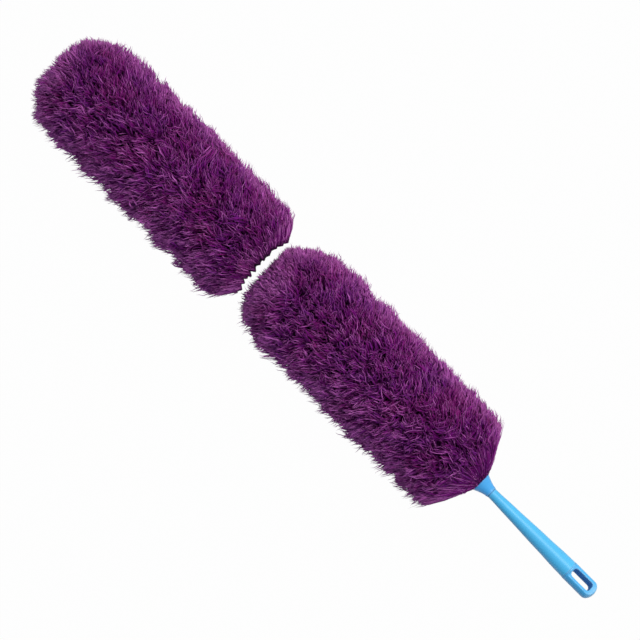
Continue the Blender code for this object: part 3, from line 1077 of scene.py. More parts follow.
def strand_tubes(paths, radii, rng):
    """Vertices and faces of closed three-sided strands, one a path, thin at its last point."""
    count, rings = paths.shape[0], paths.shape[1] - 1
    tangent = unit(np.gradient(paths, axis=1))[:, :rings]
    side = unit(np.cross(tangent, rng.normal(size=(count, 1, 3))))
    other = np.cross(tangent, side)
    turns = 2 * np.pi * np.arange(3)[:, None] / 3
    spread = side[:, :, None] * np.cos(turns) + other[:, :, None] * np.sin(turns)
    walls = paths[:, :rings, None] + spread * radii[:, :rings, None, None]
    verts = np.concatenate([walls.reshape(count, -1, 3), paths[:, -1:]], 1)
    sides = [(i, (i + 1) % 3) for i in range(3)]
    last = 3 * (rings - 1)
    quads = [(i + a, i + b, i + b + 3, i + a + 3) for i in range(0, last, 3) for a, b in sides]
    tris = [(0, 2, 1)] + [(last + a, last + b, last + 3) for a, b in sides]
    return verts, np.array(quads), np.array(tris)


def map_row(shade, hue):
    """The fibre map's row for a shade and a hue, each 0 to 1."""
    step = np.floor(np.clip(shade, 0, 0.999) * shade_steps)
    side = np.floor(np.clip(hue, 0, 0.999) * hue_steps)
    return (step * hue_steps + side + 0.5) / map_rows


def strand_mesh(name, paths, radii, heights, rows, rng):
    """One mesh of many strands, with their map of heights and rows."""
    verts, quads, tris = strand_tubes(paths, radii, rng)
    count, each = verts.shape[:2]
    corners = np.concatenate([quads.ravel(), tris.ravel()])
    totals = np.tile([4] * len(quads) + [3] * len(tris), count)
    every = (np.arange(count)[:, None] * each + corners).ravel()
    mesh = bpy.data.meshes.new(name)
    mesh.vertices.add(count * each)
    mesh.vertices.foreach_set("co", verts.astype(np.float32).ravel())
    mesh.loops.add(len(every))
    mesh.loops.foreach_set("vertex_index", every.astype(np.int32))
    mesh.polygons.add(len(totals))
    mesh.polygons.foreach_set("loop_start", (np.cumsum(totals) - totals).astype(np.int32))
    mesh.polygons.foreach_set("use_smooth", np.ones(len(totals), bool))
    mesh.update(calc_edges=True)

    # each face lies a little to both sides of its strand's row, and the root's face isn't flat
    half = row_share / map_rows
    beside = [-half, half, half, -half] * len(quads) + [-half, half, 0] * len(tris)
    up = heights[:, corners // 3]
    up[:, quads.size + 1] += root_lift
    add_map(mesh, fibre_map, np.stack([up, rows[:, None] + beside], -1))
    return mesh


def calmness(angle):
    """How much smoother the pile lies at this angle about the axis, 0 to 1."""
    return progress(np.cos(angle), *calm_side)


def bent(start, middle, end, shares):
    """Points at these shares of the curves from start to end that lean towards middle."""
    start, middle, end = start[:, None], middle[:, None], end[:, None]
    shares = shares[..., None]
    return start * (1 - shares) ** 2 + 2 * middle * shares * (1 - shares) + end * shares**2


def cut_off(head, start, middle, end):
    """The share of each strand that the cut takes from its root, up to all of it."""
    points = bent(start, middle, end, np.linspace(0, 1, trim_steps + 1)[None])
    room = -points[..., 0] - head.cut_line(points[..., 1])
    gone = room < 0
    last = trim_steps - np.argmax(gone[:, ::-1], axis=1)
    row = np.arange(len(room))
    following = np.minimum(last + 1, trim_steps)
    span = np.maximum(room[row, following] - room[row, last], weld_distance)
    share = np.clip((last - room[row, last] / span) / trim_steps, 0, 1)
    return np.where(gone.any(axis=1), share, 0)


class Tufts:
    """Places of a head's tufts, and what the strands of each have in common."""

    def __init__(self, head, chosen, rng):
        self.distance, self.radius, self.angle = tuft_places(
            head.tuft_line(), chosen.tuft_spacing, rng
        )
        number = len(self.angle)
        calm = calmness(self.angle)
        swell = drift(self.distance, self.angle, rng, swell_size)
        tint = drift(self.distance, self.angle, rng, hue_size)
        self.lean = rng.normal(0, tuft_lean_spread, number)
        self.turn = rng.normal(0, tuft_turn_spread, number)
        hollow = rng.random(number) < hollow_share * (1 - calm_hollow_share * calm)
        side = np.cos(self.angle)
        rim = progress(np.abs(side), rough_from, 1)
        self.rough = 1 + rough_share * rim * np.where(side < 0, 1, rough_upper_share)
        self.reach = (rng.uniform(*tuft_reach, number) + tuft_swell * swell) * self.rough
        self.reach -= hollow * rng.uniform(*hollow_depth, number) + rough_inset * rim * (side < 0)
        uneven = swell_shade * swell + rng.normal(0, tuft_shade_spread, number)
        uneven *= (1 - calm_shade_share * calm) * self.rough
        at_neck = progress(self.distance, neck_zone, 0) * (1 - side**2)
        at_cut = progress(self.distance - head.mouth, cut_zone, 0) * head.is_cut
        at_tip = progress(pile_length - self.distance, tip_zone, 0)
        # A tuft's shade: random tone, plus painted light and shade by side and at the tip, and
        # painted shade in hollows, at the neck and at the cut
        self.shade = pile_shade + uneven + np.interp(side, *zip(*side_painted_light))
        self.shade += tip_painted_light * at_tip * (1 - tip_side_share * side) - hollow_painted_shade * hollow
        self.shade -= neck_painted_shade * at_neck + cut_painted_shade * at_cut
        self.hue = pile_hue + hue_drift * tint + rng.normal(0, tuft_hue_spread, number)
        self.at_mouth = (np.abs(self.distance - head.mouth) < seat_gap) & head.is_cut
        self.at_nose = self.distance > nose_share * pile_length
        length_share, radius_share = tip_panel_shares
        in_tip = self.distance > length_share * pile_length
        in_tip &= self.radius < radius_share * pile_radius
        quarter = np.round(self.angle / (math.pi / 2)).astype(int) % 4
        self.owner = np.where(in_tip, len(quarters), quarter)


def leave_bore(paths, shares):
    """Moves the points that lie in the sleeve's bore into its wall, or beyond its closed end."""
    wall = sleeve_bore + backing_wall / 2
    radius = np.hypot(paths[..., 1], paths[..., 2])
    near_axis = radius < wall
    inside = near_axis & (paths[..., 0] > -backing_end)
    beyond = near_axis[:, -1:] & (paths[:, -1:, 0] <= -backing_end)
    paths[..., 0] = np.where(inside & beyond, -backing_end - seat_gap * shares, paths[..., 0])
    widen = np.where(inside & ~beyond, wall / np.maximum(radius, seat_gap / 10), 1)
    paths[..., 1:] *= widen[..., None]


class Strands:
    """Every strand of a head: where it ends and starts, how it bends and its shade and hue."""

    def __init__(self, head, chosen):
        self.head, self.chosen = head, chosen
        self.rng = np.random.default_rng(chosen.seed)
        self.tufts = Tufts(head, chosen, self.rng)
        self.of = np.repeat(np.arange(len(self.tufts.angle)), chosen.strands_per_tuft)
        self.total = len(self.of)
        self.place_ends()
        if head.is_cut:
            self.fill_mouth()
        self.radius *= lopsided(self.distance, self.angle)
        self.point_outwards()
        self.root_in_hem()
        self.bend()
        self.colour()

    def between(self, span):
        return self.rng.uniform(*span, self.total)

    def place_ends(self):
        """Where each strand ends: at its tuft, sunk round the tuft's middle, buried or astray."""
        rng, tufts, of, total = self.rng, self.tufts, self.of, self.total
        scatter = self.chosen.tuft_spacing * strand_scatter
        nose, self.at_mouth = tufts.at_nose[of], tufts.at_mouth[of]
        aside = rng.normal(0, 1, (2, total))
        distance = tufts.distance[of] + scatter * aside[0]
        own = tufts.radius[of] + scatter * aside[0]
        radius = np.abs(np.where(nose | self.at_mouth, own, outline_radius(distance)))
        self.angle = tufts.angle[of] + scatter * aside[1] / np.maximum(tufts.radius[of], scatter)
        self.aside = np.hypot(*aside)
        self.calm = calmness(self.angle)
        self.buried = rng.random(total) < buried_share
        self.stray = ~self.buried & (rng.random(total) < stray_share)
        self.bright = rng.random(total) < bright_share * (1 - calm_bright_share * self.calm)
        point = tuft_point * (1 - calm_point_share * self.calm)
        sink = np.abs(rng.normal(0, strand_sink, total)) + point * self.aside
        sink = np.where(self.buried, self.between(buried_depth), sink)
        reach = (1 - calm_stray_share * self.calm) * self.between(stray_reach)
        sink = np.where(self.stray, -reach, sink) - tufts.reach[of]
        self.sink = sink = np.where(nose & ~self.buried, sink * nose_reach_share, sink)
        in_front = np.minimum(distance, tufts.distance[of]) - sink
        self.distance = np.where(nose, in_front, distance)
        self.radius = np.where(nose, radius, radius - sink * math.sin(self.chosen.lean))

    def fill_mouth(self):
        """Spreads the strands of the cut's face over the depth behind it."""
        beyond = self.head.mouth + self.between(end_reach)
        widened = hem_radius + (self.radius - hem_radius) * beyond / self.head.mouth
        widened = np.minimum(widened, outline_radius(beyond) - end_sink)
        self.distance = np.where(self.at_mouth, beyond, self.distance)
        self.radius = np.where(self.at_mouth, widened, self.radius)

    def heading(self, more):
        """The way the strands point when they lean this much more."""
        lean = (self.lean + more)[:, None]
        return forward * np.cos(lean) + self.swung * np.sin(lean)

    def point_outwards(self):
        """The way each strand points at its end, and its curve from inside the pile to there."""
        rng, tufts, of, total = self.rng, self.tufts, self.of, self.total
        hub = fan_hub_share * pile_length
        fan = np.arctan2(self.radius, np.maximum(self.distance - hub, seat_gap))
        self.lean = np.minimum(self.chosen.lean, fan) + tufts.lean[of]
        self.lean += rng.normal(0, strand_lean_spread, total)
        turn = (tufts.turn[of] + rng.normal(0, strand_turn_spread, total))[:, None]
        none, across, up = np.zeros(total), np.cos(self.angle), np.sin(self.angle)
        self.outward = np.stack([none, across, up], 1)
        self.swung = self.outward * np.cos(turn) + np.stack([none, -up, across], 1) * np.sin(turn)
        self.end = forward * self.distance[:, None] + self.outward * self.radius[:, None]
        half = self.chosen.strand_length * self.between(strand_lengths)[:, None] / 2
        self.middle = self.end - self.heading(0) * half
        self.start = self.middle - self.heading(root_sweep) * half
        curled = np.where(self.bright, bright_curl, 1)[:, None]
        self.middle += rng.normal(0, curl, (total, 3)) * curled

    def root_in_hem(self):
        """Near the neck and in the cut's face the strands start at the hem instead."""
        cover = outline_radius(-self.start[:, 0], left=0) - 2 * self.chosen.strand_radius
        shallow = np.hypot(self.start[:, 1], self.start[:, 2]) > cover
        near = self.distance < hem_zone * self.between(hem_zone_shares)
        from_hem = (shallow & (self.distance < pile_length / 2)) | near | self.at_mouth
        self.from_hem = from_hem[:, None]
        root = forward * self.between(hem_root)[:, None] + self.outward * hem_radius
        span = self.end - root
        chord = np.linalg.norm(span, axis=1, keepdims=True)
        along = np.sum(self.outward * span, 1, keepdims=True) / chord**2
        bow = unit(self.outward - span * along) * chord * self.between(hem_bow)[:, None]
        self.middle = np.where(self.from_hem, (root + self.end) / 2 + bow, self.middle)
        self.start = np.where(self.from_hem, root, self.start)

    def bend(self):
        """Points along each strand, beyond what the cut takes, their radii and their heights."""
        curve = (self.start, self.middle, self.end)
        self.gone = np.zeros((self.total, 1))
        if self.head.is_cut:
            self.gone = cut_off(self.head, *curve)[:, None]
        shares = np.where(self.from_hem, hem_ring_shares, ring_shares)
        shares = self.gone + (1 - self.gone) * shares
        self.paths = bent(*curve, shares)
        sideways = unit(np.cross(self.heading(0), self.rng.normal(0, 1, (self.total, 3))))
        kinks = kink * self.between(kink_spread)[:, None] * np.array(kink_rings)
        self.paths += sideways[:, None] * kinks[..., None]
        self.paths[..., 0] = np.minimum(self.paths[..., 0], -seat_gap)
        leave_bore(self.paths, shares)
        self.paths += np.array([neck.x + self.head.neck, neck.y, neck.z])
        thick = self.between(strand_widths) * np.where(self.stray, stray_width, 1)
        thick = self.chosen.strand_radius * thick[:, None]
        whole = self.from_hem & (self.gone == 0)
        self.radii = thick * np.where(whole, hem_ring_widths, ring_widths)
        self.paths[..., 2] = np.maximum(self.paths[..., 2], thick * np.array(resting_widths))
        self.heights = np.where(
            self.from_hem,
            np.interp(shares, hem_ring_shares, hem_heights),
            np.interp(shares, ring_shares, free_heights),
        )

    def colour(self):
        """The row of the fibre's map for each strand's shade and hue."""
        rng, tufts, of, total = self.rng, self.tufts, self.of, self.total
        # A strand's shade: random tone, painted shade in the clefts between tufts and on buried
        # strands, and strays and bright strands painted paler
        uneven = rng.normal(0, strand_shade_spread, total)
        uneven -= cleft_painted_shade * (self.aside - mean_aside)
        uneven *= tufts.rough[of] ** 2 * (1 - calm_shade_share * self.calm)
        shade = tufts.shade[of] + uneven - buried_painted_shade * np.maximum(self.sink, 0) * self.buried
        shade = np.where(self.stray, self.between(stray_lit_shades), shade)
        shade = np.where(self.bright, self.between(bright_highlight_shades), shade)
        self.rows = map_row(shade, tufts.hue[of] + rng.normal(0, strand_hue_spread, total))

    def panel(self, number):
        """Paths, radii, heights and rows of one panel's strands, without what the cut took."""
        mine = (self.tufts.owner[self.of] == number) & (self.gone[:, 0] < most_cut_share)
        return [values[mine] for values in (self.paths, self.radii, self.heights, self.rows)]


def pile_bed(name, head, quarter):
    """Painted shade under the fibres: a quarter of a dark turned shell, or the disc at the tip."""
    if quarter is None:
        front = -(backing_end + seat_gap)
        low, end = (-(backing_end + depth) for depth in disc_depths)
        profile = [(front, 0), (front, disc_radii[0]), (low, disc_radii[1]), (end, 0)]
        return turned(name, eased(profile, disc_round), sides=disc_sides, shift=head.neck)
    inner = sleeve_bore + backing_wall + seat_gap
    points = [(head.mouth + bed_lip, sleeve_radius)]
    for distance, radius in pile_outline:
        low = min(radius - bed_inset, bed_radius)
        if low > sleeve_radius and head.mouth <= distance < backing_end:
            points.append((max(distance, head.hem_end), low))
    points += [(backing_end, bed_tip_radius), (backing_end, inner)]
    points += [(head.hem_end, inner), (head.hem_end, sleeve_radius)]
    return quarter_shell(name, head, points, quarter)


def quarter_shell(name, head, points, quarter):
    """Spins a closed section through a quarter turn about the axis."""
    distance, radius = np.array(points).T
    start = np.full(len(points), quarter * math.pi / 2 - math.pi / 4)
    placed = from_the_axis(head.neck - distance, radius, start)
    mesh = bpy.data.meshes.new(name)
    mesh.from_pydata([tuple(p) for p in placed], [], [list(range(len(points)))])
    obj = new_object(name, mesh)
    only(obj)
    go_to("EDIT")
    bpy.ops.mesh.select_all(action="SELECT")
    bpy.ops.mesh.spin(steps=bed_turn_steps, angle=math.pi / 2, center=neck, axis=(1, 0, 0))
    weld()
    return obj


def dark_map(obj):
    """Puts every face of the bed on the fibre map's darkest row, as painted shade."""
    places = np.zeros((len(obj.data.loops), 2))
    for face in obj.data.polygons:
        turns = 2 * np.pi * np.arange(face.loop_total) / face.loop_total
        around = np.stack([np.cos(turns), np.sin(turns)], 1) * shade_bed_size
        places[face.loop_start : face.loop_start + face.loop_total] = shade_bed_place + around
    add_map(obj.data, fibre_map, places)


def grow_pile(prefix):
    """The five pieces of a head's pile, each of them a bed of painted shade and its strands in one
    mesh.
    """
    head = Head(prefix)
    strands = Strands(head, bpy.context.scene.duster_pile)
    for number, side in enumerate((*quarters, "tip")):
        name = f"{head.body}_fibres_{side}"
        pile = new_object(name, strand_mesh(name, *strands.panel(number), strands.rng))
        bed = pile_bed(name + "_bed", head, None if side == "tip" else number)
        dark_map(bed)
        only(pile, bed)
        bpy.ops.object.join()
        node_name = f"{prefix}_pile_{side}"
        finish_piece(pile, fibre_material(), head.body, "purple_pile", node_name)


class DUSTER_OT_piles(bpy.types.Operator):
    """Grow the pile of both heads"""

    bl_idname = "duster.piles"
    bl_label = "Piles"

    def execute(self, context):
        grow_pile("head")
        grow_pile("spare")
        return {"FINISHED"}


# Sleeves


def sway(angle, amount, times):
    return amount * np.sin(times * angle)


def sleeve_backing(head):
    """Fabric tube, closed at the tip, with shallow puckers where the pile is sewn to it."""
    start, end = -head.hem_end, -backing_end
    outside = sleeve_bore + backing_wall
    profile = [(end + backing_wall, 0), (end + backing_wall, sleeve_bore), (start, sleeve_bore)]
    profile += [(start, outside), (end, outside), (end, 0)]
    filled = filled_in(eased(profile, backing_round), pucker_step)
    obj = turned(head.body + "_sleeve", filled, sides=backing_sides, shift=head.neck)
    along, radius, angle = round_the_axis(points_of(obj))
    outer = radius > sleeve_bore + backing_wall / 2
    turns = 2 * np.pi * along / (pucker_steps * pucker_step)
    pucker = pucker_depth * np.abs(np.sin(turns + sway(angle, *pucker_sway))) * outer
    set_points(obj, from_the_axis(along, radius - pucker, angle))
    return obj


def sleeve_hem(head):
    """Folded hem, gathered a little by its elastic."""
    front = -(head.mouth + seat_gap)
    end, floor = front - hem_length, front - hem_wall
    outside = sleeve_bore + hem_height
    rim = (end, sleeve_bore + hem_wall / 2)
    profile = [rim, (end, sleeve_bore), (front, sleeve_bore), (front, outside), (end, outside)]
    profile += [(end, outside - hem_wall), (floor, outside - hem_wall)]
    profile += [(floor, sleeve_bore + hem_wall), (end, sleeve_bore + hem_wall), rim]
    section = eased(profile, hem_round)
    obj = turned(head.body + "_hem", section, ring=True, sides=hem_sides, shift=head.neck)
    along, radius, angle = round_the_axis(points_of(obj))
    fold = gather_depth * (1 + np.cos(gathers * angle + sway(angle, *gather_sway)))
    set_points(obj, from_the_axis(along, radius - fold * (radius > hem_middle), angle))
    return obj


def hem_stitches(head):
    """Short rounded stitches round the front of the hem, joined as one thread."""
    plane = neck.x + head.neck - head.mouth - seat_gap
    first = new_primitive(
        bpy.ops.mesh.primitive_uv_sphere_add,
        head.body + "_stitches",
        segments=stitch_segments[0],
        ring_count=stitch_segments[1],
        radius=stitch_radius,
    )
    first.scale = (stitch_flat_share, stitch_length / 2 / stitch_radius, 1)
    place_in_mesh(first)
    made = []
    count = round(2 * math.pi * hem_middle / stitch_pitch)
    for i in range(count):
        angle = 2 * math.pi * i / count
        across, up = -hem_middle * math.sin(angle), hem_middle * math.cos(angle)
        stitch = new_object(head.body + "_stitch", first.data.copy())
        stitch.rotation_euler = (angle, 0, 0)
        stitch.location = (plane, neck.y + across, neck.z + up)
        made.append(stitch)
    bpy.data.objects.remove(first)
    only(*made)
    bpy.ops.object.join()
    thread = bpy.context.object
    thread.name = head.body + "_hem_stitches"
    place_in_mesh(thread)
    smooth(thread, soft_angle)
    return thread


def sleeve_elastic(head):
    """Ribbed elastic cord in the hem's channel."""
    minor = (hem_height - 2 * hem_wall) / 2 - seat_gap
    centre = head.neck - (head.mouth + seat_gap + hem_wall + seat_gap + minor)
    obj = new_primitive(
        bpy.ops.mesh.primitive_torus_add,
        head.body + "_elastic",
        location=on_axis(centre),
        rotation=(0, math.pi / 2, 0),
        major_radius=hem_middle,
        minor_radius=minor,
        major_segments=elastic_segments[0],
        minor_segments=elastic_segments[1],
    )
    place_in_mesh(obj)
    along, radius, angle = round_the_axis(points_of(obj))
    across, out = along - centre, radius - hem_middle
    twist = elastic_ribs * np.arctan2(out, across) + elastic_twists * angle
    thin = 1 - elastic_ridge / minor * (1 + np.cos(twist))
    set_points(obj, from_the_axis(centre + across * thin, hem_middle + out * thin, angle))
    smooth(obj, soft_angle)
    return obj


def sew_sleeve(prefix):
    """The backing, hem, elastic and stitches of one head."""
    head = Head(prefix)
    chosen = bpy.context.scene.duster_sleeve
    for sew, part, slot, nodes in (
        (sleeve_backing, "backing", "purple_backing", [prefix + "_backing"]),
        (sleeve_hem, "hem", "purple_hem", [prefix + "_hem"]),
        (sleeve_elastic, "elastic", "white_elastic", [prefix + "_elastic"]),
        (hem_stitches, "thread", "purple_hem", []),
    ):
        obj = sew(head)
        wrap_cloth(obj)
        material = cloth_material(*cloths[part], getattr(chosen, part + "_colour"))
        finish_piece(obj, material, head.body, slot, *nodes)


class DUSTER_OT_sleeves(bpy.types.Operator):
    """Sew the backing, hem and elastic of both heads"""

    bl_idname = "duster.sleeves"
    bl_label = "Sleeves"

    def execute(self, context):
        sew_sleeve("head")
        sew_sleeve("spare")
        return {"FINISHED"}


# Core


def rivet_cutter():
    hole = new_primitive(
        bpy.ops.mesh.primitive_cylinder_add,
        "rivet_hole",
        vertices=rivet_sides,
        radius=rivet_radius + seat_gap,
        depth=4 * core_radius,
        location=on_axis(-rivet_setback),
    )
    return place_in_mesh(hole)


def collar_flare():
    """Points (along, radius) of the collar's outside, from its rim to its neck."""
    start, end = collar_rim_land, collar_rear - collar_neck_land
    made = []
    for share in np.linspace(0, 1, flare_points):
        straight = collar_rim_radius + (collar_neck_radius - collar_rim_radius) * share
        bow = collar_bow * math.sin(math.pi * share)
        made.append((start + (end - start) * share, straight - bow))
    return made


class DUSTER_OT_collar(bpy.types.Operator):
    """Turn the flared collar with its spigot and threaded socket"""

    bl_idname = "duster.collar"
    bl_label = "Neck collar"

    def execute(self, context):
        bore = thread_root_radius + thread_clearance + thread_depth
        floor = collar_rear - thread_length - stud_relief - seat_gap
        plug = core_radius - core_wall - seat_gap
        outside = [
            (collar_rear, bore),
            (collar_rear, collar_neck_radius),
            *reversed(collar_flare()),
            (0, collar_rim_radius),
            (0, plug),
            (collar_front, plug),
            (collar_front, plug - spigot_wall),
            (floor - collar_web, plug - spigot_wall),
            (floor - collar_web, 0),
        ]
        thread = [(x, bore) for x in stations(floor, collar_rear, thread_step)]
        collar = turned("collar", [(floor, 0), *thread[:-1], *eased(outside, collar_round)])
        cut_thread(collar, floor, collar_rear, bore, -thread_depth)
        cut_with(collar, rivet_cutter())
        smooth(collar)
        mark_wear(collar)
        # A painted shadow line on the collar just behind its rim, where the pile meets it
        behind_rim = (points_of(collar)[:, 0] - neck.x) / rim_shadow_width
        mark(collar, "Recess", progress(behind_rim, *rim_shadow_shares))
        chosen = context.scene.duster_handle
        material = plastic_material("satin_collar_blue", chosen.collar_colour, chosen.roughness)
        finish_piece(collar, material, "core", "blue_plastic", "neck_collar")
        return {"FINISHED"}


class DUSTER_OT_core(bpy.types.Operator):
    """Turn the core tube, its tip cap and the rivet"""

    bl_idname = "duster.core"
    bl_label = "Core tube"

    def execute(self, context):
        chosen = context.scene.duster_handle
        grey = plastic_material("grey_plastic", chosen.core_colour, core_roughness)
        inner = core_radius - core_wall
        section = pipe_section(-seat_gap, core_end, core_radius, inner)
        tube = turned("core", eased(section, core_round), ring=True)
        cut_with(tube, rivet_cutter())
        smooth(tube)
        mark_wear(tube)
        finish_piece(tube, grey, "core", "grey_core_plastic", "core_tube")

        plug = inner - seat_gap
        shoulder = core_end - seat_gap
        profile = [(core_end + core_plug_length, 0), (core_end + core_plug_length, plug)]
        profile += [(shoulder, plug), *dome(shoulder, core_nose, core_radius, cap_dome_steps)]
        cap = turned("core_cap", eased(profile, cap_round))
        mark_wear(cap)
        finish_piece(cap, grey, "core", "grey_core_plastic", "core_tip_cap")
        self.rivet(chosen.rivet_colour)
        return {"FINISHED"}

    def rivet(self, colour):
        """A tubular rivet with rolled, dished ends."""
        low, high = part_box("collar_rivet")
        rivet = new_primitive(
            bpy.ops.mesh.primitive_cylinder_add,
            "rivet",
            vertices=rivet_sides,
            radius=rivet_radius,
            depth=high.z - low.z,
            location=(low + high) / 2,
        )
        place_in_mesh(rivet)
        go_to("EDIT")
        for end, inwards in ((low.z, rivet_radius), (high.z, -rivet_radius)):
            select_where(rivet, "polygons", lambda face: abs(face.center.z - end) < weld_distance)
            for inset, dish in rivet_dish_shares:
                bpy.ops.mesh.inset(thickness=rivet_radius * inset)
                bpy.ops.transform.translate(value=(0, 0, inwards * dish))
        go_to("OBJECT")
        bevel = rivet.modifiers.new("ease", "BEVEL")
        bevel.width = rivet_radius * rivet_round_share
        bevel.segments = rivet_round_steps
        bevel.limit_method = "ANGLE"
        apply_modifiers(rivet)
        smooth(rivet)
        finish_piece(rivet, steel_material(colour), "core", "rivet_steel", "collar_rivet")


class DUSTER_OT_washer(bpy.types.Operator):
    """Turn the rubber washer under the grip's shoulder"""

    bl_idname = "duster.washer"
    bl_label = "Sealing washer"

    def execute(self, context):
        lip = seat_gap - loop_seam
        front, rear = washer_low.x - neck.x - lip, washer_high.x - neck.x + lip
        section = pipe_section(front, rear, washer_bore, washer_high.y)
        width = (rear - front) * washer_round_share
        washer = turned("washer", eased(section, width), ring=True)
        colour = context.scene.duster_handle.rubber_colour
        rubber = plastic_material("washer_rubber", colour, washer_roughness, rubber_grain)
        finish_piece(washer, rubber, "washer", "blue_rubber", "sealing_washer")
        return {"FINISHED"}


# Handle


def grip_taper():
    """Points (along, radius) of the outside of the grip."""
    length, widening = grip_end - grip_front, grip_rear_radius - grip_front_radius
    return [
        (grip_front + length * share, grip_front_radius + widening * up)
        for share, up in grip_taper_shares
    ]


def socket_radius():
    """Radius of the socket in the grip's rear, where the loop's plug sits."""
    along, radius = zip(*grip_taper())
    return float(np.interp(plug_front, along, radius)) - grip_wall


class DUSTER_OT_grip(bpy.types.Operator):
    """Turn the tapered grip with its threaded stud"""

    bl_idname = "duster.grip"
    bl_label = "Grip"

    def execute(self, context):
        taper = grip_taper()
        tip = collar_rear - thread_length - seat_gap
        start, end = collar_rear - thread_length, grip_front - stud_relief
        stud = [(x, thread_root_radius) for x in stations(start, end, thread_step)]
        hollow_from = grip_front + grip_solid_length
        bore = [(x, r - grip_wall) for x, r in taper if hollow_from < x < plug_front]
        bore += [(plug_front, socket_radius()), (grip_end, socket_radius())]
        *flank, rear = through(taper, grip_steps)
        outside = [(grip_front, thread_root_radius), *flank, (rear[0] - 2 * seam_round, rear[1])]
        outside += [rear, *reversed(bore), (bore[0][0], 0)]
        profile = [(tip, 0), (tip, thread_root_radius * stud_tip_share), *stud, *eased(outside)]
        grip = turned("grip", profile)
        cut_thread(grip, start, end, thread_root_radius, thread_depth)
        mark_wear(grip)
        chosen = context.scene.duster_handle
        material = plastic_material("satin_blue", chosen.grip_colour, chosen.roughness)
        finish_piece(grip, material, "grip", "blue_plastic", "handle_grip")
        return {"FINISHED"}


def turned_box(box, along):
    """Sets a box this far along the axis and turns it with the loop."""
    box.location = on_axis(along)
    box.rotation_euler = (-loop_turn, 0, 0)
    return place_in_mesh(box)


def new_box(name, size, middle=(0, 0, 0)):
    box = new_primitive(bpy.ops.mesh.primitive_cube_add, name, size=1)
    box.scale = size
    box.location = middle
    return place_in_mesh(box)


def slot_cutter():
    """A box with its four upright edges rounded."""
    box = new_box("slot", (slot_length, slot_width, 4 * loop_radius))

    def upright(edge):
        start, end = (box.data.vertices[i].co for i in edge.vertices)
        return start.xy == end.xy

    go_to("EDIT")
    bpy.ops.mesh.select_mode(type="EDGE")
    select_where(box, "edges", upright)
    bpy.ops.mesh.bevel(offset=slot_corner_radius, segments=slot_corner_steps, affect="EDGES")
    bpy.ops.mesh.select_mode(type="VERT")
    go_to("OBJECT")
    return turned_box(box, slot_middle)


def flat_cutter(side):
    """A box that takes one side of the loop down to a flat."""
    start = grip_end + seat_gap + loop_collar
    length = handle_reach - start + loop_radius
    height = side * (loop_half_thickness + loop_radius / 2)
    size = (length, 4 * loop_radius, loop_radius)
    return turned_box(new_box("flat", size, (start + length / 2, 0, height)), 0)


class DUSTER_OT_hang_loop(bpy.types.Operator):
    """Turn the hanging loop, cut its flats and its slot, and soften its edges"""

    bl_idname = "duster.hang_loop"
    bl_label = "Hanging loop"

    def execute(self, context):
        plug = socket_radius() - seat_gap
        front = grip_end + loop_seam
        profile = [
            (front - edge_round, 0),
            (front - edge_round, loop_plug_bore),
            (front - loop_plug_length, loop_plug_bore),
            (front - loop_plug_length, plug),
            (front, plug),
            (front, loop_radius),
            *dome(handle_reach - loop_dome_length, handle_reach, loop_radius, loop_dome_steps),
        ]
        loop = turned("loop", profile)
        for cutter in (flat_cutter(1), flat_cutter(-1), slot_cutter()):
            cut_with(loop, cutter)
        remesh = loop.modifiers.new("even", "REMESH")
        remesh.mode = "VOXEL"
        remesh.voxel_size = loop_voxel
        soften = loop.modifiers.new("soften", "SMOOTH")
        soften.factor = loop_soften_share
        soften.iterations = loop_soften_times
        apply_modifiers(loop)
        smooth(loop, soft_angle)
        before_end = handle_reach - (points_of(loop)[:, 0] - neck.x)
        # A painted highlight on the loop's rounded end as well as on its edges
        mark_wear(loop, end_highlight_share * progress(before_end, *highlight_end))
        self.mark_slot(loop)
        chosen = context.scene.duster_handle
        material = plastic_material("satin_loop_blue", chosen.loop_colour, chosen.roughness)
        finish_piece(loop, material, "grip", "blue_loop_plastic", "hang_loop")
        return {"FINISHED"}

    def mark_slot(self, loop):
        """Marks painted shade on the wall of the slot, from a little way in."""
        turn = np.array(Matrix.Rotation(loop_turn, 3, "X"))
        along, across, up = np.abs((points_of(loop) - np.array(on_axis(slot_middle))) @ turn.T).T
        inside = (along < slot_length / 2 + edge_round) & (across < slot_width / 2 + edge_round)
        depth = progress(loop_half_thickness - edge_round - up, 0, slot_shade_depth)
        mark(loop, "Recess", inside * depth)


# Stage


def floor_material(colour):
    """White floor that keeps the object's shadow and looks paler to the camera."""
    made = bpy.data.materials.new("pale_floor")
    made.use_nodes = True
    tree = made.node_tree
    shader = tree.nodes["Principled BSDF"]
    shader.inputs["Base Color"].default_value = opaque(colour)
    shader.inputs["Roughness"].default_value = floor_roughness
    shader.inputs["Specular IOR Level"].default_value = floor_specular
    glow = node(tree, "Emission", {"Color": white, "Strength": 1.0})
    rays = node(tree, "LightPath").outputs
    seen = maths(tree, "MAXIMUM", rays["Is Camera Ray"], rays["Is Glossy Ray"])
    seen = maths(tree, "MAXIMUM", seen, rays["Is Transmission Ray"])
    share = maths(tree, "MULTIPLY", seen, floor_glow_share)
    mix = node(tree, "MixShader", {0: share, 1: shader.outputs[0], 2: glow.outputs[0]})
    tree.links.new(mix.outputs[0], tree.nodes["Material Output"].inputs["Surface"])
    return made


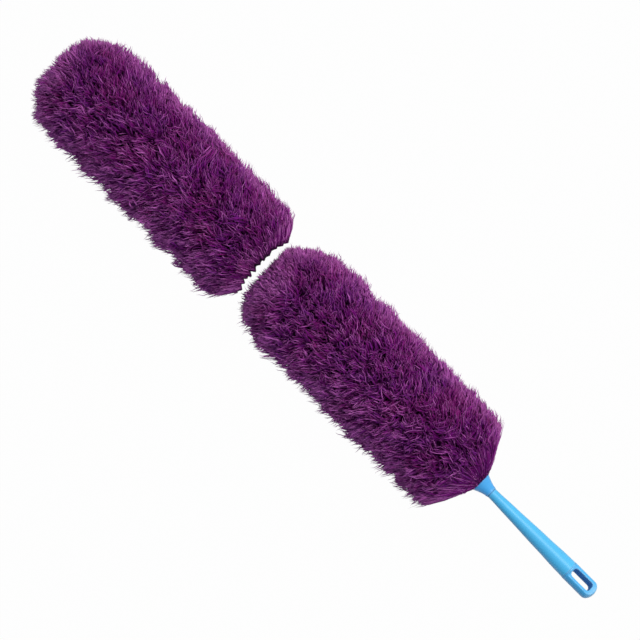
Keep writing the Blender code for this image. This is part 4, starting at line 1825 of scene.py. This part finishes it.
def surround(strength):
    """An even white world, a little darker on the side away from the key lamp."""
    world = bpy.context.scene.world or bpy.data.worlds.new("surround")
    bpy.context.scene.world = world
    world.use_nodes = True
    tree = world.node_tree
    tree.nodes.clear()
    direction = node(tree, "TexCoord").outputs["Generated"]
    across = node(tree, "SeparateXYZ", {0: direction}).outputs[1]
    colour = mixed(tree, masked(tree, across, *surround_span), surround_tint, white)
    lit = node(tree, "Background", {"Color": colour, "Strength": strength})
    seen = node(tree, "Background", {"Color": white, "Strength": 1.0})
    camera = node(tree, "LightPath").outputs["Is Camera Ray"]
    mix = node(tree, "MixShader", {0: camera, 1: lit.outputs[0], 2: seen.outputs[0]})
    node(tree, "OutputWorld", {"Surface": mix.outputs[0]})


class DUSTER_OT_stage(bpy.types.Operator):
    """Lay the floor and set the lamps, the surround and the camera"""

    bl_idname = "duster.stage"
    bl_label = "Stage"

    def execute(self, context):
        chosen = context.scene.duster_stage
        aim = Vector(chosen.aim)
        floor = new_primitive(bpy.ops.mesh.primitive_plane_add, "floor", size=floor_size)
        floor.data.materials.append(floor_material(chosen.floor_colour))
        surround(chosen.world_light)
        bpy.ops.object.light_add(type="AREA", location=aim + Vector(key_place))
        key = context.object
        key.name = "key_lamp"
        key.data.energy = chosen.key_power
        key.data.shape = "RECTANGLE"
        key.data.size, key.data.size_y = key_size
        key.rotation_mode = "QUATERNION"
        key.rotation_quaternion = (aim - key.location).to_track_quat("-Z", "Y")
        up = Vector((0, 0, chosen.view_width * chosen.lens / sensor_width))
        bpy.ops.object.camera_add(location=aim + up, rotation=(0, 0, chosen.roll))
        camera = context.object
        camera.name = "photo_camera"
        camera.data.lens = chosen.lens
        camera.data.sensor_width = sensor_width
        camera.data.clip_end = clip_end
        context.scene.camera = camera
        context.scene.view_settings.view_transform = "Standard"
        return {"FINISHED"}


class DUSTER_PT_panel(bpy.types.Panel):
    """Lists the duster's pieces and the stage"""

    bl_idname = "DUSTER_PT_panel"
    bl_label = "Microfibre duster"
    bl_space_type = "VIEW_3D"
    bl_region_type = "UI"
    bl_category = "Duster"

    def draw(self, context):
        for setting in settings:
            group = getattr(context.scene, setting)
            box = self.layout.box()
            for name in group.__annotations__:
                box.prop(group, name)
        for operator in operators:
            self.layout.operator(operator.bl_idname)


operators = (
    DUSTER_OT_piles,
    DUSTER_OT_sleeves,
    DUSTER_OT_collar,
    DUSTER_OT_core,
    DUSTER_OT_washer,
    DUSTER_OT_grip,
    DUSTER_OT_hang_loop,
    DUSTER_OT_stage,
)
settings = {
    "duster_pile": PileSettings,
    "duster_sleeve": SleeveSettings,
    "duster_handle": HandleSettings,
    "duster_stage": StageSettings,
}


def register():
    for made in (*settings.values(), *operators, DUSTER_PT_panel):
        bpy.utils.register_class(made)
    for name, group in settings.items():
        setattr(bpy.types.Scene, name, PointerProperty(type=group))


def unregister():
    for name in settings:
        delattr(bpy.types.Scene, name)
    for made in (DUSTER_PT_panel, *reversed(operators), *reversed(settings.values())):
        bpy.utils.unregister_class(made)


def main():
    register()
    for operator in operators:
        group, name = operator.bl_idname.split(".")
        getattr(getattr(bpy.ops, group), name)()


if __name__ == "__main__":
    main()
